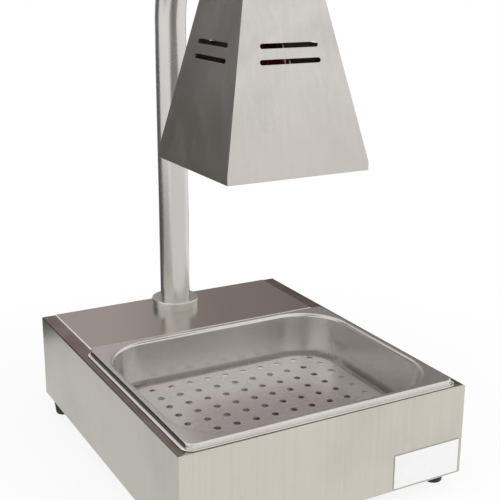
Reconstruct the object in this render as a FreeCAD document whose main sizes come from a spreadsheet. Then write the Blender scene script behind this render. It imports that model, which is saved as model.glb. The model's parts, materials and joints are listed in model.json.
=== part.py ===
"""Chip warmer: a low stainless steel box on rubber feet, with a lift-out pan and a heat lamp over it.

Lengths are in millimetres. X runs to the right, Y to the back and Z up. The origin is on the
counter, under the middle of the box. The front two thirds of the box hold the pan over a heating
element; the rear third is closed by a raised deck, carries the lamp post and holds the wiring.
"""
import FreeCAD, Part
import math
import os

import Sketcher

Vector = FreeCAD.Vector

DIMENSIONS = (
    ("box_width", 340.0, "outside width of the box"),
    ("box_depth", 417.0, "outside depth of the box"),
    ("box_height", 105.0, "height of the box without its feet"),
    ("sheet", 1.0, "thickness of the case's steel sheet"),
    ("bend_radius", 1.5, "outside radius of the case's bends"),
    ("top_flange", 17.0, "width of the flanges along the top of the box's sides"),
    ("front_flange", 11.0, "width of the flange along the top of the box's front"),
    ("bottom_flange", 26.0, "width of the flanges round the underside"),
    ("rear_return", 14.0, "width of the side panels' folds behind the rear panel"),
    ("seam", 0.2, "gap left where two sheets meet edge to edge"),
    ("overrun", 6.0, "how far every cut runs past what it cuts"),
    ("seat_gap", 0.3, "gap under a piece that only rests in place"),
    ("deck_depth", 132.0, "depth of the raised deck behind the pan"),
    ("deck_rise", 1.2, "height of the deck above the side flanges"),
    ("deck_gap", 0.5, "gap between the deck's skirt and the side flanges"),
    ("deck_tuck", 8.0, "width of the deck's edge under the side flanges"),
    ("deck_fold", 12.0, "depth of the deck's front and rear folds below the flanges"),
    ("divider_lip", 17.0, "width of the divider's lip under the pan's rear rim"),
    ("divider_foot", 12.0, "width of the divider's foot on the base plate"),
    ("divider_gap", 0.5, "gap between the divider and the side panels"),
    ("base_gap", 0.3, "gap between the base plate and the walls"),
    ("base_upturn", 13.0, "height of the base plate's rear upturn"),
    ("base_upturn_inset", 20.0, "distance of the upturn's ends from the sides"),
    ("base_vent_length", 46.0, "length of a vent slot in the base plate"),
    ("base_vent_radius", 2.5, "half the width of a vent slot in the base plate"),
    ("base_vent_pitch", 22.0, "spacing of the vent slots in the base plate"),
    ("badge_width", 88.0, "width of the bare plate on the front"),
    ("badge_height", 41.0, "height of the bare plate on the front"),
    ("badge_thickness", 0.5, "thickness of the bare plate on the front"),
    ("badge_side", 3.0, "distance of the bare plate from the box's right side"),
    ("badge_low", 2.0, "distance of the bare plate from the box's underside"),
    ("badge_corner", 1.5, "corner radius of the bare plate on the front"),
    ("foot_height", 19.0, "height of a rubber foot"),
    ("foot_top_radius", 12.5, "radius of a foot where it meets the box"),
    ("foot_base_radius", 10.2, "radius of a foot where it stands"),
    ("foot_edge", 2.5, "rounding of a foot's lower edge"),
    ("foot_web", 6.0, "thickness of the rubber over a foot's recess"),
    ("foot_recess_radius", 6.0, "radius of the recess for the screw in a foot"),
    ("foot_inset_side", 14.0, "distance of a foot's axis from the box's side"),
    ("foot_inset_end", 27.5, "distance of a foot's axis from the box's front or rear"),
    ("washer_radius", 5.5, "radius of a foot's washer"),
    ("washer_height", 1.0, "thickness of a foot's washer"),
    ("bolt_radius", 2.5, "radius of the feet's screws and the post's studs"),
    ("bolt_head_radius", 4.5, "radius of a foot screw's head"),
    ("bolt_head_height", 2.8, "height of a foot screw's head"),
    ("nut_flats", 8.0, "width across the flats of the nuts"),
    ("nut_height", 4.0, "height of the nuts"),
    ("bolt_end", 1.5, "how far a bolt stands past its nut"),
    ("bolt_gap", 0.25, "gap between a screw and the hole it passes"),
    ("screw_radius", 1.9, "radius of the case screws"),
    ("screw_head_radius", 3.6, "radius of a case screw's head"),
    ("screw_head_height", 1.8, "height of a case screw's head"),
    ("screw_length", 8.0, "length of a case screw under its head"),
    ("screw_slot_width", 0.9, "width of the cross in a screw's head"),
    ("screw_inset", 7.0, "distance of the rear screws from the box's sides"),
    ("rear_screw_low", 22.0, "height of the lower rear screws over the underside"),
    ("rear_screw_high", 86.0, "height of the upper rear screws over the underside"),
    ("rear_screw_bottom", 8.0, "height of the bottom rear screws over the underside"),
    ("rear_screw_spread", 180.0, "spacing of the bottom rear screws"),
    ("base_screw_spread", 204.0, "spacing of the base screws along each side"),
    ("base_screw_inset", 13.0, "distance of the base screws from the box's sides"),
    ("rear_vent_length", 40.0, "length of a vent slot in the rear panel"),
    ("rear_vent_radius", 2.2, "half the width of a vent slot in the rear panel"),
    ("rear_vent_pitch", 11.0, "spacing of the vent slots in the rear panel"),
    ("rear_vent_middle", -18.0, "place of the middle of the rear vents across the panel"),
    ("pan_side", 7.5, "distance of the pan's lip from the box's sides"),
    ("pan_behind", 9.0, "distance of the pan's lip from the deck"),
    ("pan_front", 2.0, "distance of the pan's lip from the box's front"),
    ("pan_rise", 6.5, "height of the pan's rim over the box's flanges"),
    ("pan_sheet", 0.9, "thickness of the pan's steel"),
    ("pan_lip", 3.5, "width of the pan's turned-out lip"),
    ("pan_lip_height", 1.4, "thickness of the pan's turned-out lip"),
    ("pan_rim", 4.75, "width of the pan's flat rim at the middle of a side"),
    ("pan_outer_corner", 9.0, "corner radius of the pan's rim outside"),
    ("pan_corner", 62.0, "corner radius of the pan's opening"),
    ("pan_edge", 4.0, "rounding of the rim into the bowl"),
    ("pan_shoulder", 2.0, "rounding of the rim's outer edge"),
    ("pan_bowl_depth", 65.0, "depth of the pan under its rim, outside"),
    ("pan_draw_in", 4.4, "how far the bowl's walls lean in from rim to floor"),
    ("pan_floor_radius", 12.0, "rounding between the bowl's walls and floor, inside"),
    ("drain_sheet", 1.0, "thickness of the drain plate"),
    ("drain_height", 12.0, "height of the drain plate over the pan's floor"),
    ("drain_gap", 5.0, "gap between the drain plate and the bowl's wall"),
    ("drain_fold", 5.0, "depth of the drain plate's folded edge"),
    ("drain_hole_radius", 4.0, "radius of a drain hole"),
    ("drain_pitch", 24.0, "spacing of the drain holes"),
    ("drain_foot_radius", 4.0, "radius of a foot under the drain plate"),
    ("drain_margin", 36.0, "least distance of a drain hole's axis from the pan's lip"),
    ("drain_foot_side", 62.5, "distance of the drain plate's feet from the pan's lip at the sides"),
    ("drain_foot_end", 59.0, "distance of the drain plate's feet from the pan's lip front and rear"),
    ("tube_radius", 19.05, "outside radius of the post's tube"),
    ("tube_wall", 1.5, "wall of the post's tube"),
    ("tube_gap", 0.15, "gap between the tube and what it passes through"),
    ("post_inset", 37.0, "distance of the post's axis from the box's rear"),
    ("post_straight", 359.8, "straight length of the post above the deck"),
    ("crook_radius", 135.0, "radius of the post's first bend"),
    ("crook_end_radius", 60.0, "radius of the bend down into the shade"),
    ("lamp_reach", 227.0, "distance of the lamp's axis in front of the post's"),
    ("collar_radius", 30.5, "outside radius of the ring collars"),
    ("collar_height", 11.0, "height of the ring collars"),
    ("collar_wall", 2.2, "wall of the ring collars"),
    ("collar_floor", 2.0, "floor of the ring collars"),
    ("collar_edge", 0.8, "rounding of a collar's upper edges"),
    ("post_plate_width", 100.0, "width of the plate under the deck that holds the post"),
    ("post_plate_depth", 54.0, "depth of the plate under the deck that holds the post"),
    ("post_plate_thickness", 4.0, "thickness of the plate that holds the post"),
    ("stud_spread_x", 78.0, "spacing of the deck's studs across"),
    ("stud_spread_y", 34.0, "spacing of the deck's studs front to back"),
    ("shade_height", 204.0, "height of the lamp shade"),
    ("shade_base", 164.0, "width of the shade's open lower end"),
    ("shade_top", 79.0, "width of the shade's closed upper end"),
    ("shade_sheet", 1.0, "thickness of the shade's steel"),
    ("shade_hem", 8.5, "height of the upright strip along the shade's lower edge"),
    ("vent_low", 112.5, "height of the shade's lower vents over its lower edge"),
    ("vent_high", 127.7, "height of the shade's upper vents over its lower edge"),
    ("vent_low_length", 69.5, "length of the shade's lower vents"),
    ("vent_high_length", 66.0, "length of the shade's upper vents"),
    ("vent_radius", 2.5, "half the height of a vent in the shade"),
    ("hanger_width", 62.0, "width of the plate that carries the shade"),
    ("hanger_thickness", 3.0, "thickness of the plate that carries the shade"),
    ("hanger_spread", 52.0, "spacing of the shade's screws"),
    ("spacer_height", 8.0, "height of the spacers over the lamp holder"),
    ("spacer_radius", 3.4, "radius of the spacers over the lamp holder"),
    ("holder_radius", 22.0, "radius of the ceramic lamp holder"),
    ("holder_height", 44.0, "height of the ceramic lamp holder"),
    ("holder_bore", 14.3, "radius of the lamp holder's bore"),
    ("holder_bore_depth", 28.3, "depth of the lamp holder's bore"),
    ("holder_edge", 2.0, "rounding of the lamp holder's rims"),
    ("spacer_reach", 25.5, "distance of the lamp holder's screws from its axis"),
    ("ear_end", 5.0, "how far the lamp holder's ears reach past their screws"),
    ("ear_width", 13.0, "width of the lamp holder's ears"),
    ("ear_thickness", 6.0, "thickness of the lamp holder's ears"),
    ("holder_head_radius", 3.0, "radius of the small screws' heads"),
    ("holder_screw_radius", 1.6, "radius of the lamp holder's screws"),
    ("liner_wall", 0.4, "wall of the brass liner in the lamp holder"),
    ("liner_gap", 0.1, "gap between the liner and the ceramic"),
    ("liner_height", 22.0, "height of the brass liner in the lamp holder"),
    ("lamp_length", 172.7, "length of the lamp, front to contact"),
    ("lamp_radius", 62.5, "largest radius of the lamp's glass"),
    ("lamp_glass", 1.0, "thickness of the lamp's glass"),
    ("cap_radius", 13.2, "outside radius of the lamp's screw cap"),
    ("cap_height", 25.0, "height of the lamp's screw cap with its contact"),
    ("cap_wall", 0.4, "wall of the lamp's screw cap"),
    ("cap_thread", 0.6, "depth of the screw cap's thread"),
    ("cap_glass_gap", 0.3, "gap between the screw cap and the glass in it"),
    ("cap_skirt", 6.0, "how far the glass reaches into the screw cap"),
    ("cap_contact", 4.5, "radius of the lamp's end contact"),
    ("stem_height", 40.0, "height of the glass stem in the lamp"),
    ("stem_radius", 4.0, "radius of the glass stem in the lamp"),
    ("filament_drop", 24.0, "distance of the filament below the stem"),
    ("filament_reach", 3.0, "distance of the filament's supports from the axis"),
    ("filament_wire", 0.5, "radius of the filament's supports"),
    ("filament_coil", 1.2, "radius of the coiled filament"),
    ("element_radius", 4.0, "radius of the heating element's tube"),
    ("element_side", 47.5, "distance of the heating element's axis from the pan's lip at the sides"),
    ("element_front", 50.0, "distance of the loop's front run from the box's front"),
    ("element_rear", 70.0, "distance of the loop's rear run from the divider"),
    ("element_tails", 60.0, "spacing of the element's two ends"),
    ("element_bend", 22.0, "bend radius of the heating element"),
    ("element_height", 20.0, "height of the element's axis over the base plate"),
    ("element_behind", 18.0, "how far the element's ends stand behind the divider"),
    ("element_pin_radius", 1.5, "radius of the element's terminal pins"),
    ("element_pin_length", 10.0, "length of the element's terminal pins"),
    ("bush_radius", 7.0, "radius of the bushes that hold the element in the divider"),
    ("bush_thickness", 3.0, "thickness of a bush's flange"),
    ("bush_nut", 4.0, "thickness of a bush's nut"),
    ("bush_flats", 15.0, "width across the flats of a bush's nut"),
    ("sleeve_radius", 5.5, "radius of a bush's sleeve through the divider"),
    ("shield_side", 39.0, "distance of the heat shield from the box's sides"),
    ("shield_rear", 48.0, "distance of the heat shield from the divider"),
    ("shield_front", 32.0, "distance of the heat shield from the box's front"),
    ("shield_height", 8.0, "height of the heat shield over the base plate"),
    ("bracket_sheet", 1.5, "thickness of the element's brackets"),
    ("bracket_width", 14.0, "width of the element's brackets"),
    ("bracket_foot", 16.0, "length of the foot of an element bracket"),
    ("bracket_crown", 4.0, "height of a bracket over the element"),
    ("thermostat_x", 80.0, "place of the thermostat across the divider"),
    ("thermostat_height", 58.0, "height of the thermostat over the base plate"),
    ("thermostat_radius", 8.5, "radius of the thermostat"),
    ("thermostat_depth", 11.0, "depth of the thermostat's body"),
    ("thermostat_ear", 19.0, "half the length of the thermostat's mounting strip"),
    ("thermostat_strip", 9.0, "width of the thermostat's mounting strip"),
    ("thermostat_hole", 14.5, "distance of the thermostat's screws from its axis"),
    ("thermostat_screw", 4.0, "length of a thermostat screw under its head"),
    ("tab_width", 6.3, "width of the push-on tabs"),
    ("tab_thickness", 0.8, "thickness of the push-on tabs"),
    ("tab_length", 8.0, "length of the push-on tabs"),
    ("terminal_width", 48.0, "width of the terminal block"),
    ("terminal_depth", 22.0, "depth of the terminal block"),
    ("terminal_height", 18.0, "height of the terminal block"),
    ("terminal_groove", 6.0, "depth of the grooves in the terminal block"),
    ("terminal_pitch", 15.0, "spacing of the terminal block's poles"),
    ("terminal_ridge", 3.0, "thickness of the ridges between the terminal block's poles"),
    ("terminal_behind", 67.0, "distance of the terminal block's middle behind the divider"),
    ("terminal_screw_radius", 2.4, "radius of a terminal screw"),
    ("terminal_screw_length", 4.0, "length of a terminal screw that shows"),
    ("fitting_height", 50.0, "height of the inlet and the switches over the underside"),
    ("inlet_x", -98.0, "place of the power inlet across the rear panel"),
    ("inlet_width", 27.0, "width of the inlet's body"),
    ("inlet_body_height", 19.5, "height of the inlet's body"),
    ("inlet_depth", 22.0, "depth of the inlet's body inside the panel"),
    ("inlet_flange_width", 50.0, "width of the inlet's flange"),
    ("inlet_flange_height", 24.0, "height of the inlet's flange"),
    ("inlet_flange", 2.5, "thickness of the inlet's flange"),
    ("inlet_flange_corner", 4.0, "corner radius of the inlet's flange"),
    ("inlet_socket_width", 24.0, "width of the inlet's socket"),
    ("inlet_socket_height", 16.4, "height of the inlet's socket"),
    ("inlet_socket_depth", 18.0, "depth of the inlet's socket"),
    ("inlet_socket_corner", 4.5, "size of the socket's two cut-off corners"),
    ("inlet_screw_spread", 40.0, "spacing of the inlet's screws"),
    ("inlet_pin_spread", 14.0, "spacing of the inlet's outer pins"),
    ("inlet_pin_offset", 2.0, "height of the middle pin over the inlet's axis"),
    ("inlet_pin_width", 2.0, "width of an inlet pin"),
    ("inlet_pin_height", 4.0, "height of an inlet pin"),
    ("inlet_pin_recess", 5.0, "distance of the pins' tips inside the flange"),
    ("lamp_switch_x", 68.0, "place of the lamp's switch across the rear panel"),
    ("heater_switch_x", 108.0, "place of the heater's switch across the rear panel"),
    ("switch_width", 21.5, "width of a switch's body"),
    ("switch_height", 28.0, "height of a switch's body"),
    ("switch_depth", 21.0, "depth of a switch's body inside the panel"),
    ("bezel_edge", 2.5, "width of a switch's bezel round the body"),
    ("bezel_thickness", 2.0, "thickness of a switch's bezel"),
    ("bezel_corner", 2.0, "corner radius of a switch's bezel"),
    ("rocker_width", 16.0, "width of a switch's rocker"),
    ("rocker_radius", 11.6, "radius of a rocker's ends about its pivot"),
    ("rocker_valley", 2.4, "height of the rocker's middle over its pivot"),
    ("rocker_gap", 0.5, "gap round a rocker"),
    ("rocker_pivot", 1.4, "depth of a rocker's pivot under the bezel's face"),
    ("rocker_pin_radius", 1.2, "radius of a rocker's pivot pin"),
    ("fitting_gap", 0.2, "gap between a fitting and its cut-out"),
    ("wire_radius", 1.3, "radius of the insulated leads"),
    ("wire_bend", 8.0, "largest bend radius of the insulated leads"),
    ("wire_top", 22.0, "distance of the highest lead below the box's top"),
    ("lamp_cable_bend", 18.0, "bend radius of the cable above the terminal block"),
    ("lamp_cable_radius", 3.5, "radius of the sleeved cable to the lamp"),
    ("earth_x", -58.0, "place of the earth stud across the base plate"),
    ("earth_behind", 36.0, "distance of the earth stud behind the divider"),
    ("earth_height", 12.0, "height of the earth stud over the base plate"),
)

ROCKER_THROW = 20.0
ROCKER_TOP_ANGLE = 22.0
ROCKER_BASE_ANGLE = 32.0
FULL_TURN = 360.0
HALF_TURN = 180.0
QUARTER_TURN = 90.0
TOUCH = 0.01
SMALLEST_CUT = 0.001
BASE_VENTS = 6
REAR_VENTS = 5
THREAD_TURNS = 5
HEX_SIDES = 6
TERMINAL_POLES = 3
BEND_SHARE = 0.45
CROSS_SHARE = 0.7
VOLUME_SHARE = 0.01
SIDES = (-1, 1)

DOC = FreeCAD.newDocument("chip_warmer")
SHEET = DOC.addObject("Spreadsheet::Sheet", "dims")
SUB_PARTS = []


class Size:
    """A length that follows the sheet: its formula for the document, and its value."""

    def __init__(self, formula, value):
        self.formula = formula
        self.value = value

    def __add__(self, other):
        other = as_size(other)
        return Size(f"({self.formula} + {other.formula})", self.value + other.value)

    def __sub__(self, other):
        other = as_size(other)
        return Size(f"({self.formula} - {other.formula})", self.value - other.value)

    def __mul__(self, factor):
        return Size(f"({self.formula} * ({factor!r}))", self.value * factor)

    def __truediv__(self, factor):
        return Size(f"({self.formula} / {factor!r})", self.value / factor)

    def __neg__(self):
        return self * -1

    def __radd__(self, other):
        return as_size(other) + self

    def __rsub__(self, other):
        return as_size(other) - self

    __rmul__ = __mul__


def as_size(number):
    """A size as it is, or a plain zero as a size."""
    if isinstance(number, Size):
        return number
    return Size(repr(number), number)


class Dimensions:
    """The named values of the sheet, each one read as a size."""

    def __init__(self, table):
        for row, (name, value, meaning) in enumerate(table, start=1):
            SHEET.set(f"A{row}", name)
            SHEET.set(f"B{row}", str(value))
            SHEET.setAlias(f"B{row}", name)
            SHEET.set(f"C{row}", meaning)
            setattr(self, name, Size(f"dims.{name}", value))


D = Dimensions(DIMENSIONS)
DOC.recompute()


def bind(item, prop, amount):
    """Ties one property of an object to a size."""
    item.setExpression(prop, as_size(amount).formula)


def place(item, x=0, y=0, z=0, axis=None, angle=0.0):
    """Moves an object to a place given by sizes, after turning it about an axis."""
    turn = FreeCAD.Rotation(axis, angle) if axis else FreeCAD.Rotation()
    item.Placement = FreeCAD.Placement(Vector(), turn)
    bind(item, "Placement.Base.x", x)
    bind(item, "Placement.Base.y", y)
    bind(item, "Placement.Base.z", z)
    return item


def sub_part(item, name):
    """Lists an object as one of the warmer's pieces, under its own name."""
    item.Label = name
    SUB_PARTS.append(item)
    return item


def point(x, y):
    return Vector(as_size(x).value, as_size(y).value, 0)


class Drawing:
    """Gathers the lines and rules of one outline and gives them to its sketch together."""

    def __init__(self, sketch):
        self.sketch = sketch
        self.rules = []
        self.amounts = []

    def line(self, a, b):
        """A straight edge, with the numbers of its first and last points."""
        return self.sketch.addGeometry(Part.LineSegment(point(*a), point(*b)), False), 1, 2

    def arc(self, a, b, radius):
        """An arc from a to b that turns left where its radius is positive, and right where not."""
        start, end = point(*a), point(*b)
        side = 1 if radius.value > 0 else -1
        chord = end - start
        rise = math.sqrt(max(radius.value ** 2 - chord.Length ** 2 / 4, 0.0))
        centre = (start + end) * 0.5 + Vector(-chord.y, chord.x, 0).normalize() * (rise * side)
        first, last = (start, end) if side > 0 else (end, start)
        angles = [math.atan2(p.y - centre.y, p.x - centre.x) for p in (first, last)]
        if angles[1] < angles[0]:
            angles[1] += 2 * math.pi
        round_edge = Part.Circle(centre, Vector(0, 0, 1), abs(radius.value))
        number = self.sketch.addGeometry(Part.ArcOfCircle(round_edge, *angles), False)
        self.rule("Radius", number, amount=radius * side)
        return (number, 1, 2) if side > 0 else (number, 2, 1)

    def rule(self, kind, *places, amount=None):
        """Adds one constraint, tied to a size where it has an amount."""
        if amount is None:
            self.rules.append(Sketcher.Constraint(kind, *places))
            return
        self.amounts.append((len(self.rules), amount))
        self.rules.append(Sketcher.Constraint(kind, *places, amount.value))

    def pin(self, number, end, x, y):
        """Holds a point at its distances from the sketch's origin."""
        for kind, axis, amount in (("DistanceX", -2, as_size(x)), ("DistanceY", -1, as_size(y))):
            if amount.value == 0:
                self.rule("PointOnObject", number, end, axis)
            else:
                self.rule(kind, -1, 1, number, end, amount=amount)

    def close(self):
        first = self.sketch.ConstraintCount
        self.sketch.addConstraint(self.rules)
        for number, amount in self.amounts:
            bind(self.sketch, f"Constraints[{first + number}]", amount)


def outline(points, closed=True):
    """A line through points (x, y), or (x, y, radius) where an arc of that radius arrives."""

    def draw(sketch):
        drawing = Drawing(sketch)
        count = len(points)
        edges = []
        for here in range(count if closed else count - 1):
            a = points[here]
            b = points[(here + 1) % count]
            if len(b) == 3:
                edges.append(drawing.arc(a[:2], b[:2], b[2]))
            else:
                edges.append(drawing.line(a[:2], b))
        for here, (number, first, last) in enumerate(edges):
            drawing.pin(number, first, *points[here][:2])
            if closed or here + 1 < len(edges):
                follower, follower_first, _ = edges[(here + 1) % len(edges)]
                drawing.rule("Coincident", number, last, follower, follower_first)
            else:
                drawing.pin(number, last, *points[-1][:2])
        drawing.close()

    return draw


def rectangle(x0, x1, y0, y1):
    return outline([(x0, y0), (x1, y0), (x1, y1), (x0, y1)])


def rounded(x0, x1, y0, y1, r):
    """A rectangle whose corners have radius r."""
    return outline([
        (x0 + r, y0, r), (x1 - r, y0), (x1, y0 + r, r), (x1, y1 - r),
        (x1 - r, y1, r), (x0 + r, y1), (x0, y1 - r, r), (x0, y0 + r),
    ])


def slot(x0, x1, y, r):
    """A slot along the sketch's first axis whose round ends have their middles at x0 and x1."""
    return outline([
        (x0, y - r, r), (x1, y - r), (x1 + r, y, r), (x1, y + r, r), (x0, y + r), (x0 - r, y, r),
    ])


def upright_slot(x, y0, y1, r):
    """A slot along the sketch's second axis whose round ends have their middles at y0 and y1."""
    return outline([
        (x + r, y0, r), (x + r, y1), (x, y1 + r, r), (x - r, y1, r), (x - r, y0), (x, y0 - r, r),
    ])


def circle(x, y, radius):
    def draw(sketch):
        drawing = Drawing(sketch)
        round_edge = Part.Circle(point(x, y), Vector(0, 0, 1), radius.value)
        number = sketch.addGeometry(round_edge, False)
        drawing.pin(number, 3, x, y)
        drawing.rule("Radius", number, amount=radius)
        drawing.close()

    return draw


def hexagon(flats, x=0, y=0):
    """A hexagon of a given width across its flats, about a point."""
    reach = flats / (2 * math.cos(math.pi / HEX_SIDES))
    turns = [2 * math.pi * side / HEX_SIDES for side in range(HEX_SIDES)]
    return outline([(x + reach * math.cos(a), y + reach * math.sin(a)) for a in turns])


def lies_at(axis, level):
    """A test for edges that lie whole at one level of an axis, 0 for X, 1 for Y, 2 for Z."""

    def test(edge):
        box = edge.BoundBox
        low = (box.XMin, box.YMin, box.ZMin)[axis]
        high = (box.XMax, box.YMax, box.ZMax)[axis]
        return abs(low - level.value) < TOUCH and abs(high - level.value) < TOUCH

    return test


def lies_within(axis, low, high):
    """A test for edges that lie between two levels of an axis."""

    def test(edge):
        box = edge.BoundBox
        lowest = (box.XMin, box.YMin, box.ZMin)[axis]
        highest = (box.XMax, box.YMax, box.ZMax)[axis]
        return lowest > low.value - TOUCH and highest < high.value + TOUCH

    return test


def runs_along(axis):
    """A test for straight edges parallel to an axis."""

    def test(edge):
        box = edge.BoundBox
        lengths = [box.XLength, box.YLength, box.ZLength]
        longest = lengths.pop(axis)
        return longest > TOUCH and max(lengths) < TOUCH

    return test


class Piece:
    """One piece made as a PartDesign body, from sketches on its own origin planes."""

    NORMALS = {"XY_Plane": 1, "XZ_Plane": -1, "YZ_Plane": 1}

    def __init__(self, name, listed=True):
        self.body = DOC.addObject("PartDesign::Body", name)
        if listed:
            sub_part(self.body, name)

    def plane(self, role):
        return next(item for item in self.body.Origin.OriginFeatures if item.Role == role)

    def sketch(self, role, level, outlines):
        """Outlines on an origin plane, moved along the plane's axis to a level."""
        drawing = self.body.newObject("Sketcher::SketchObject", f"{self.body.Name}_outline")
        drawing.AttachmentSupport = [(self.plane(role), "")]
        drawing.MapMode = "FlatFace"
        bind(drawing, "AttachmentOffset.Base.z", as_size(level) * self.NORMALS[role])
        for draw in outlines:
            draw(drawing)
        return drawing

    def feature(self, kind, **settings):
        item = self.body.newObject(f"PartDesign::{kind}", f"{self.body.Name}_{kind.lower()}")
        for prop, setting in settings.items():
            setattr(item, prop, setting)
        return item

    def pad(self, role, low, high, *outlines):
        """Material between two levels of the plane's axis, inside the outlines."""
        low, high = as_size(low), as_size(high)
        drawing = self.sketch(role, low if self.NORMALS[role] > 0 else high, outlines)
        item = self.feature("Pad", Profile=drawing)
        bind(item, "Length", high - low)
        DOC.recompute()
        return self

    def pocket(self, role, low, high, *outlines):
        """Cuts the outlines away between two levels of the plane's axis."""
        low, high = as_size(low), as_size(high)
        before = self.body.Shape.Volume
        drawing = self.sketch(role, high if self.NORMALS[role] > 0 else low, outlines)
        item = self.feature("Pocket", Profile=drawing)
        bind(item, "Length", high - low)
        DOC.recompute()
        self.expect_less(before)
        return self

    def turn(self, points, cut=False):
        """Material or a cut turned about the body's Z axis, from an outline (radius, height)."""
        before = self.body.Shape.Volume if cut else None
        drawing = self.sketch("XZ_Plane", 0, [outline(points)])
        item = self.feature("Groove" if cut else "Revolution", Profile=drawing)
        item.ReferenceAxis = (drawing, ["V_Axis"])
        item.Angle = FULL_TURN
        DOC.recompute()
        if cut:
            self.expect_less(before)
        return self

    def loft(self, role, sections, cut=False):
        """Flat-sided material or a cut between outlines at their levels."""
        before = self.body.Shape.Volume if cut else None
        drawings = [self.sketch(role, level, [draw]) for level, draw in sections]
        kind = "SubtractiveLoft" if cut else "AdditiveLoft"
        self.feature(kind, Profile=drawings[0], Sections=drawings[1:], Ruled=True)
        DOC.recompute()
        if cut:
            self.expect_less(before)
        return self

    def pipe(self, profile, spine):
        """Material carried along a line from a profile."""
        self.feature("AdditivePipe", Profile=profile, Spine=(spine, []))
        DOC.recompute()
        return self

    def round(self, radius, *tests):
        """Rounds the edges that pass every test."""
        edges = enumerate(self.body.Tip.Shape.Edges, start=1)
        chosen = [f"Edge{number}" for number, edge in edges if all(test(edge) for test in tests)]
        if not chosen:
            raise ValueError(f"{self.body.Label}: no edge to round")
        item = self.feature("Fillet", Base=(self.body.Tip, chosen))
        bind(item, "Radius", radius)
        DOC.recompute()
        return self

    def expect_less(self, before):
        if self.body.Shape.Volume > before - SMALLEST_CUT:
            raise ValueError(f"{self.body.Label}: a cut took nothing away")

    def place(self, x=0, y=0, z=0, axis=None, angle=0.0):
        place(self.body, x, y, z, axis, angle)
        return self


def group(name, pieces):
    """Several separate solids that share one name."""
    item = DOC.addObject("Part::Compound", name)
    item.Links = [piece.body if isinstance(piece, Piece) else piece for piece in pieces]
    return sub_part(item, name)


ROCKER_PROUD = D.bezel_thickness - D.rocker_pivot + D.rocker_radius * math.sin(
    math.radians(ROCKER_TOP_ANGLE + ROCKER_THROW / 2))
HALF = D.box_width / 2
MIDDLE = (D.badge_thickness - ROCKER_PROUD) / 2
FRONT = MIDDLE - D.box_depth / 2
REAR = MIDDLE + D.box_depth / 2
UNDERSIDE = D.foot_height
TOP = UNDERSIDE + D.box_height
FLANGE_EDGE = HALF - D.top_flange
BASE_TOP = UNDERSIDE + 2 * D.sheet
DECK_TOP = TOP + D.deck_rise
DECK_UNDER = DECK_TOP - D.sheet
DECK_FRONT = REAR - D.deck_depth
DECK_EDGE = FLANGE_EDGE - D.deck_gap
POST_Y = REAR - D.post_inset
LAMP_Y = POST_Y - D.lamp_reach
CROOK_TOP = DECK_TOP + D.post_straight + D.crook_radius
SHADE_TOP = CROOK_TOP - D.crook_end_radius
SHADE_LOW = SHADE_TOP - D.shade_height
SHADE_UNDER = SHADE_TOP - D.shade_sheet
HANGER_UNDER = SHADE_UNDER - D.hanger_thickness
HOLDER_TOP = HANGER_UNDER - D.spacer_height
HOLDER_LOW = HOLDER_TOP - D.holder_height
LAMP_FRONT = HOLDER_LOW + D.holder_bore_depth - D.seat_gap - D.lamp_length
PAN_WIDTH = D.box_width - D.pan_side * 2
PAN_DEPTH = D.box_depth - D.deck_depth - D.pan_front - D.pan_behind
PAN_Y = FRONT + D.pan_front + PAN_DEPTH / 2
PAN_SEAT = TOP + D.seat_gap
PAN_TOP = TOP + D.pan_rise
PAN_FLOOR = PAN_TOP - D.pan_bowl_depth + D.pan_sheet
ELEMENT_Z = BASE_TOP + D.element_height
ELEMENT_FRONT = FRONT + D.element_front
ELEMENT_REAR = DECK_FRONT - D.element_rear
ELEMENT_HALF = PAN_WIDTH / 2 - D.element_side
ELEMENT_END = DECK_FRONT + D.element_behind
SHIELD_HALF = HALF - D.shield_side
FITTING_Z = UNDERSIDE + D.fitting_height
PANEL_INNER = REAR - D.sheet
THERMOSTAT_Z = BASE_TOP + D.thermostat_height
TERMINAL_Y = DECK_FRONT + D.terminal_behind
TAB_END = PANEL_INNER - D.switch_depth - D.tab_length
INLET_END = PANEL_INNER - D.inlet_depth - D.tab_length
EARTH_Y = DECK_FRONT + D.earth_behind
UP = Vector(0, 0, 1)
ALONG_X = Vector(1, 0, 0)


def feet_places():
    """The axes of the four feet, each with its side and its end."""
    for side in SIDES:
        for end in SIDES:
            y = MIDDLE + end * (D.box_depth / 2 - D.foot_inset_end)
            yield side, end, side * (HALF - D.foot_inset_side), y


def base_screw_places():
    """The axes of the screws that hold the base plate on the side and front flanges."""
    for side in SIDES:
        for end in SIDES:
            yield side * (HALF - D.base_screw_inset), MIDDLE + end * D.base_screw_spread / 2
        yield side * D.base_screw_spread / 2, FRONT + D.base_screw_inset


def rear_screw_places():
    """The axes of the rear panel's screws, across and up."""
    for side in SIDES:
        yield side * (HALF - D.screw_inset), UNDERSIDE + D.rear_screw_low
        yield side * (HALF - D.screw_inset), UNDERSIDE + D.rear_screw_high
        yield side * D.rear_screw_spread / 2, UNDERSIDE + D.rear_screw_bottom


def thermostat_screw_places():
    """The axes of the thermostat's two screws, across and up."""
    return [(D.thermostat_x + side * D.thermostat_hole, THERMOSTAT_Z) for side in SIDES]


def holes(places, radius):
    return [circle(x, y, radius) for x, y in places]


def flange(side, width, reach):
    """A side panel's flange, mitred where it meets the front panel's, which reaches less far in."""
    start = FRONT + D.sheet + D.seam
    inner = side * (HALF - width)
    return outline([
        (side * HALF, start), (side * HALF, PANEL_INNER), (inner, PANEL_INNER),
        (inner, FRONT + reach + D.seam), (side * (HALF - D.sheet), start),
    ])


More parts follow.
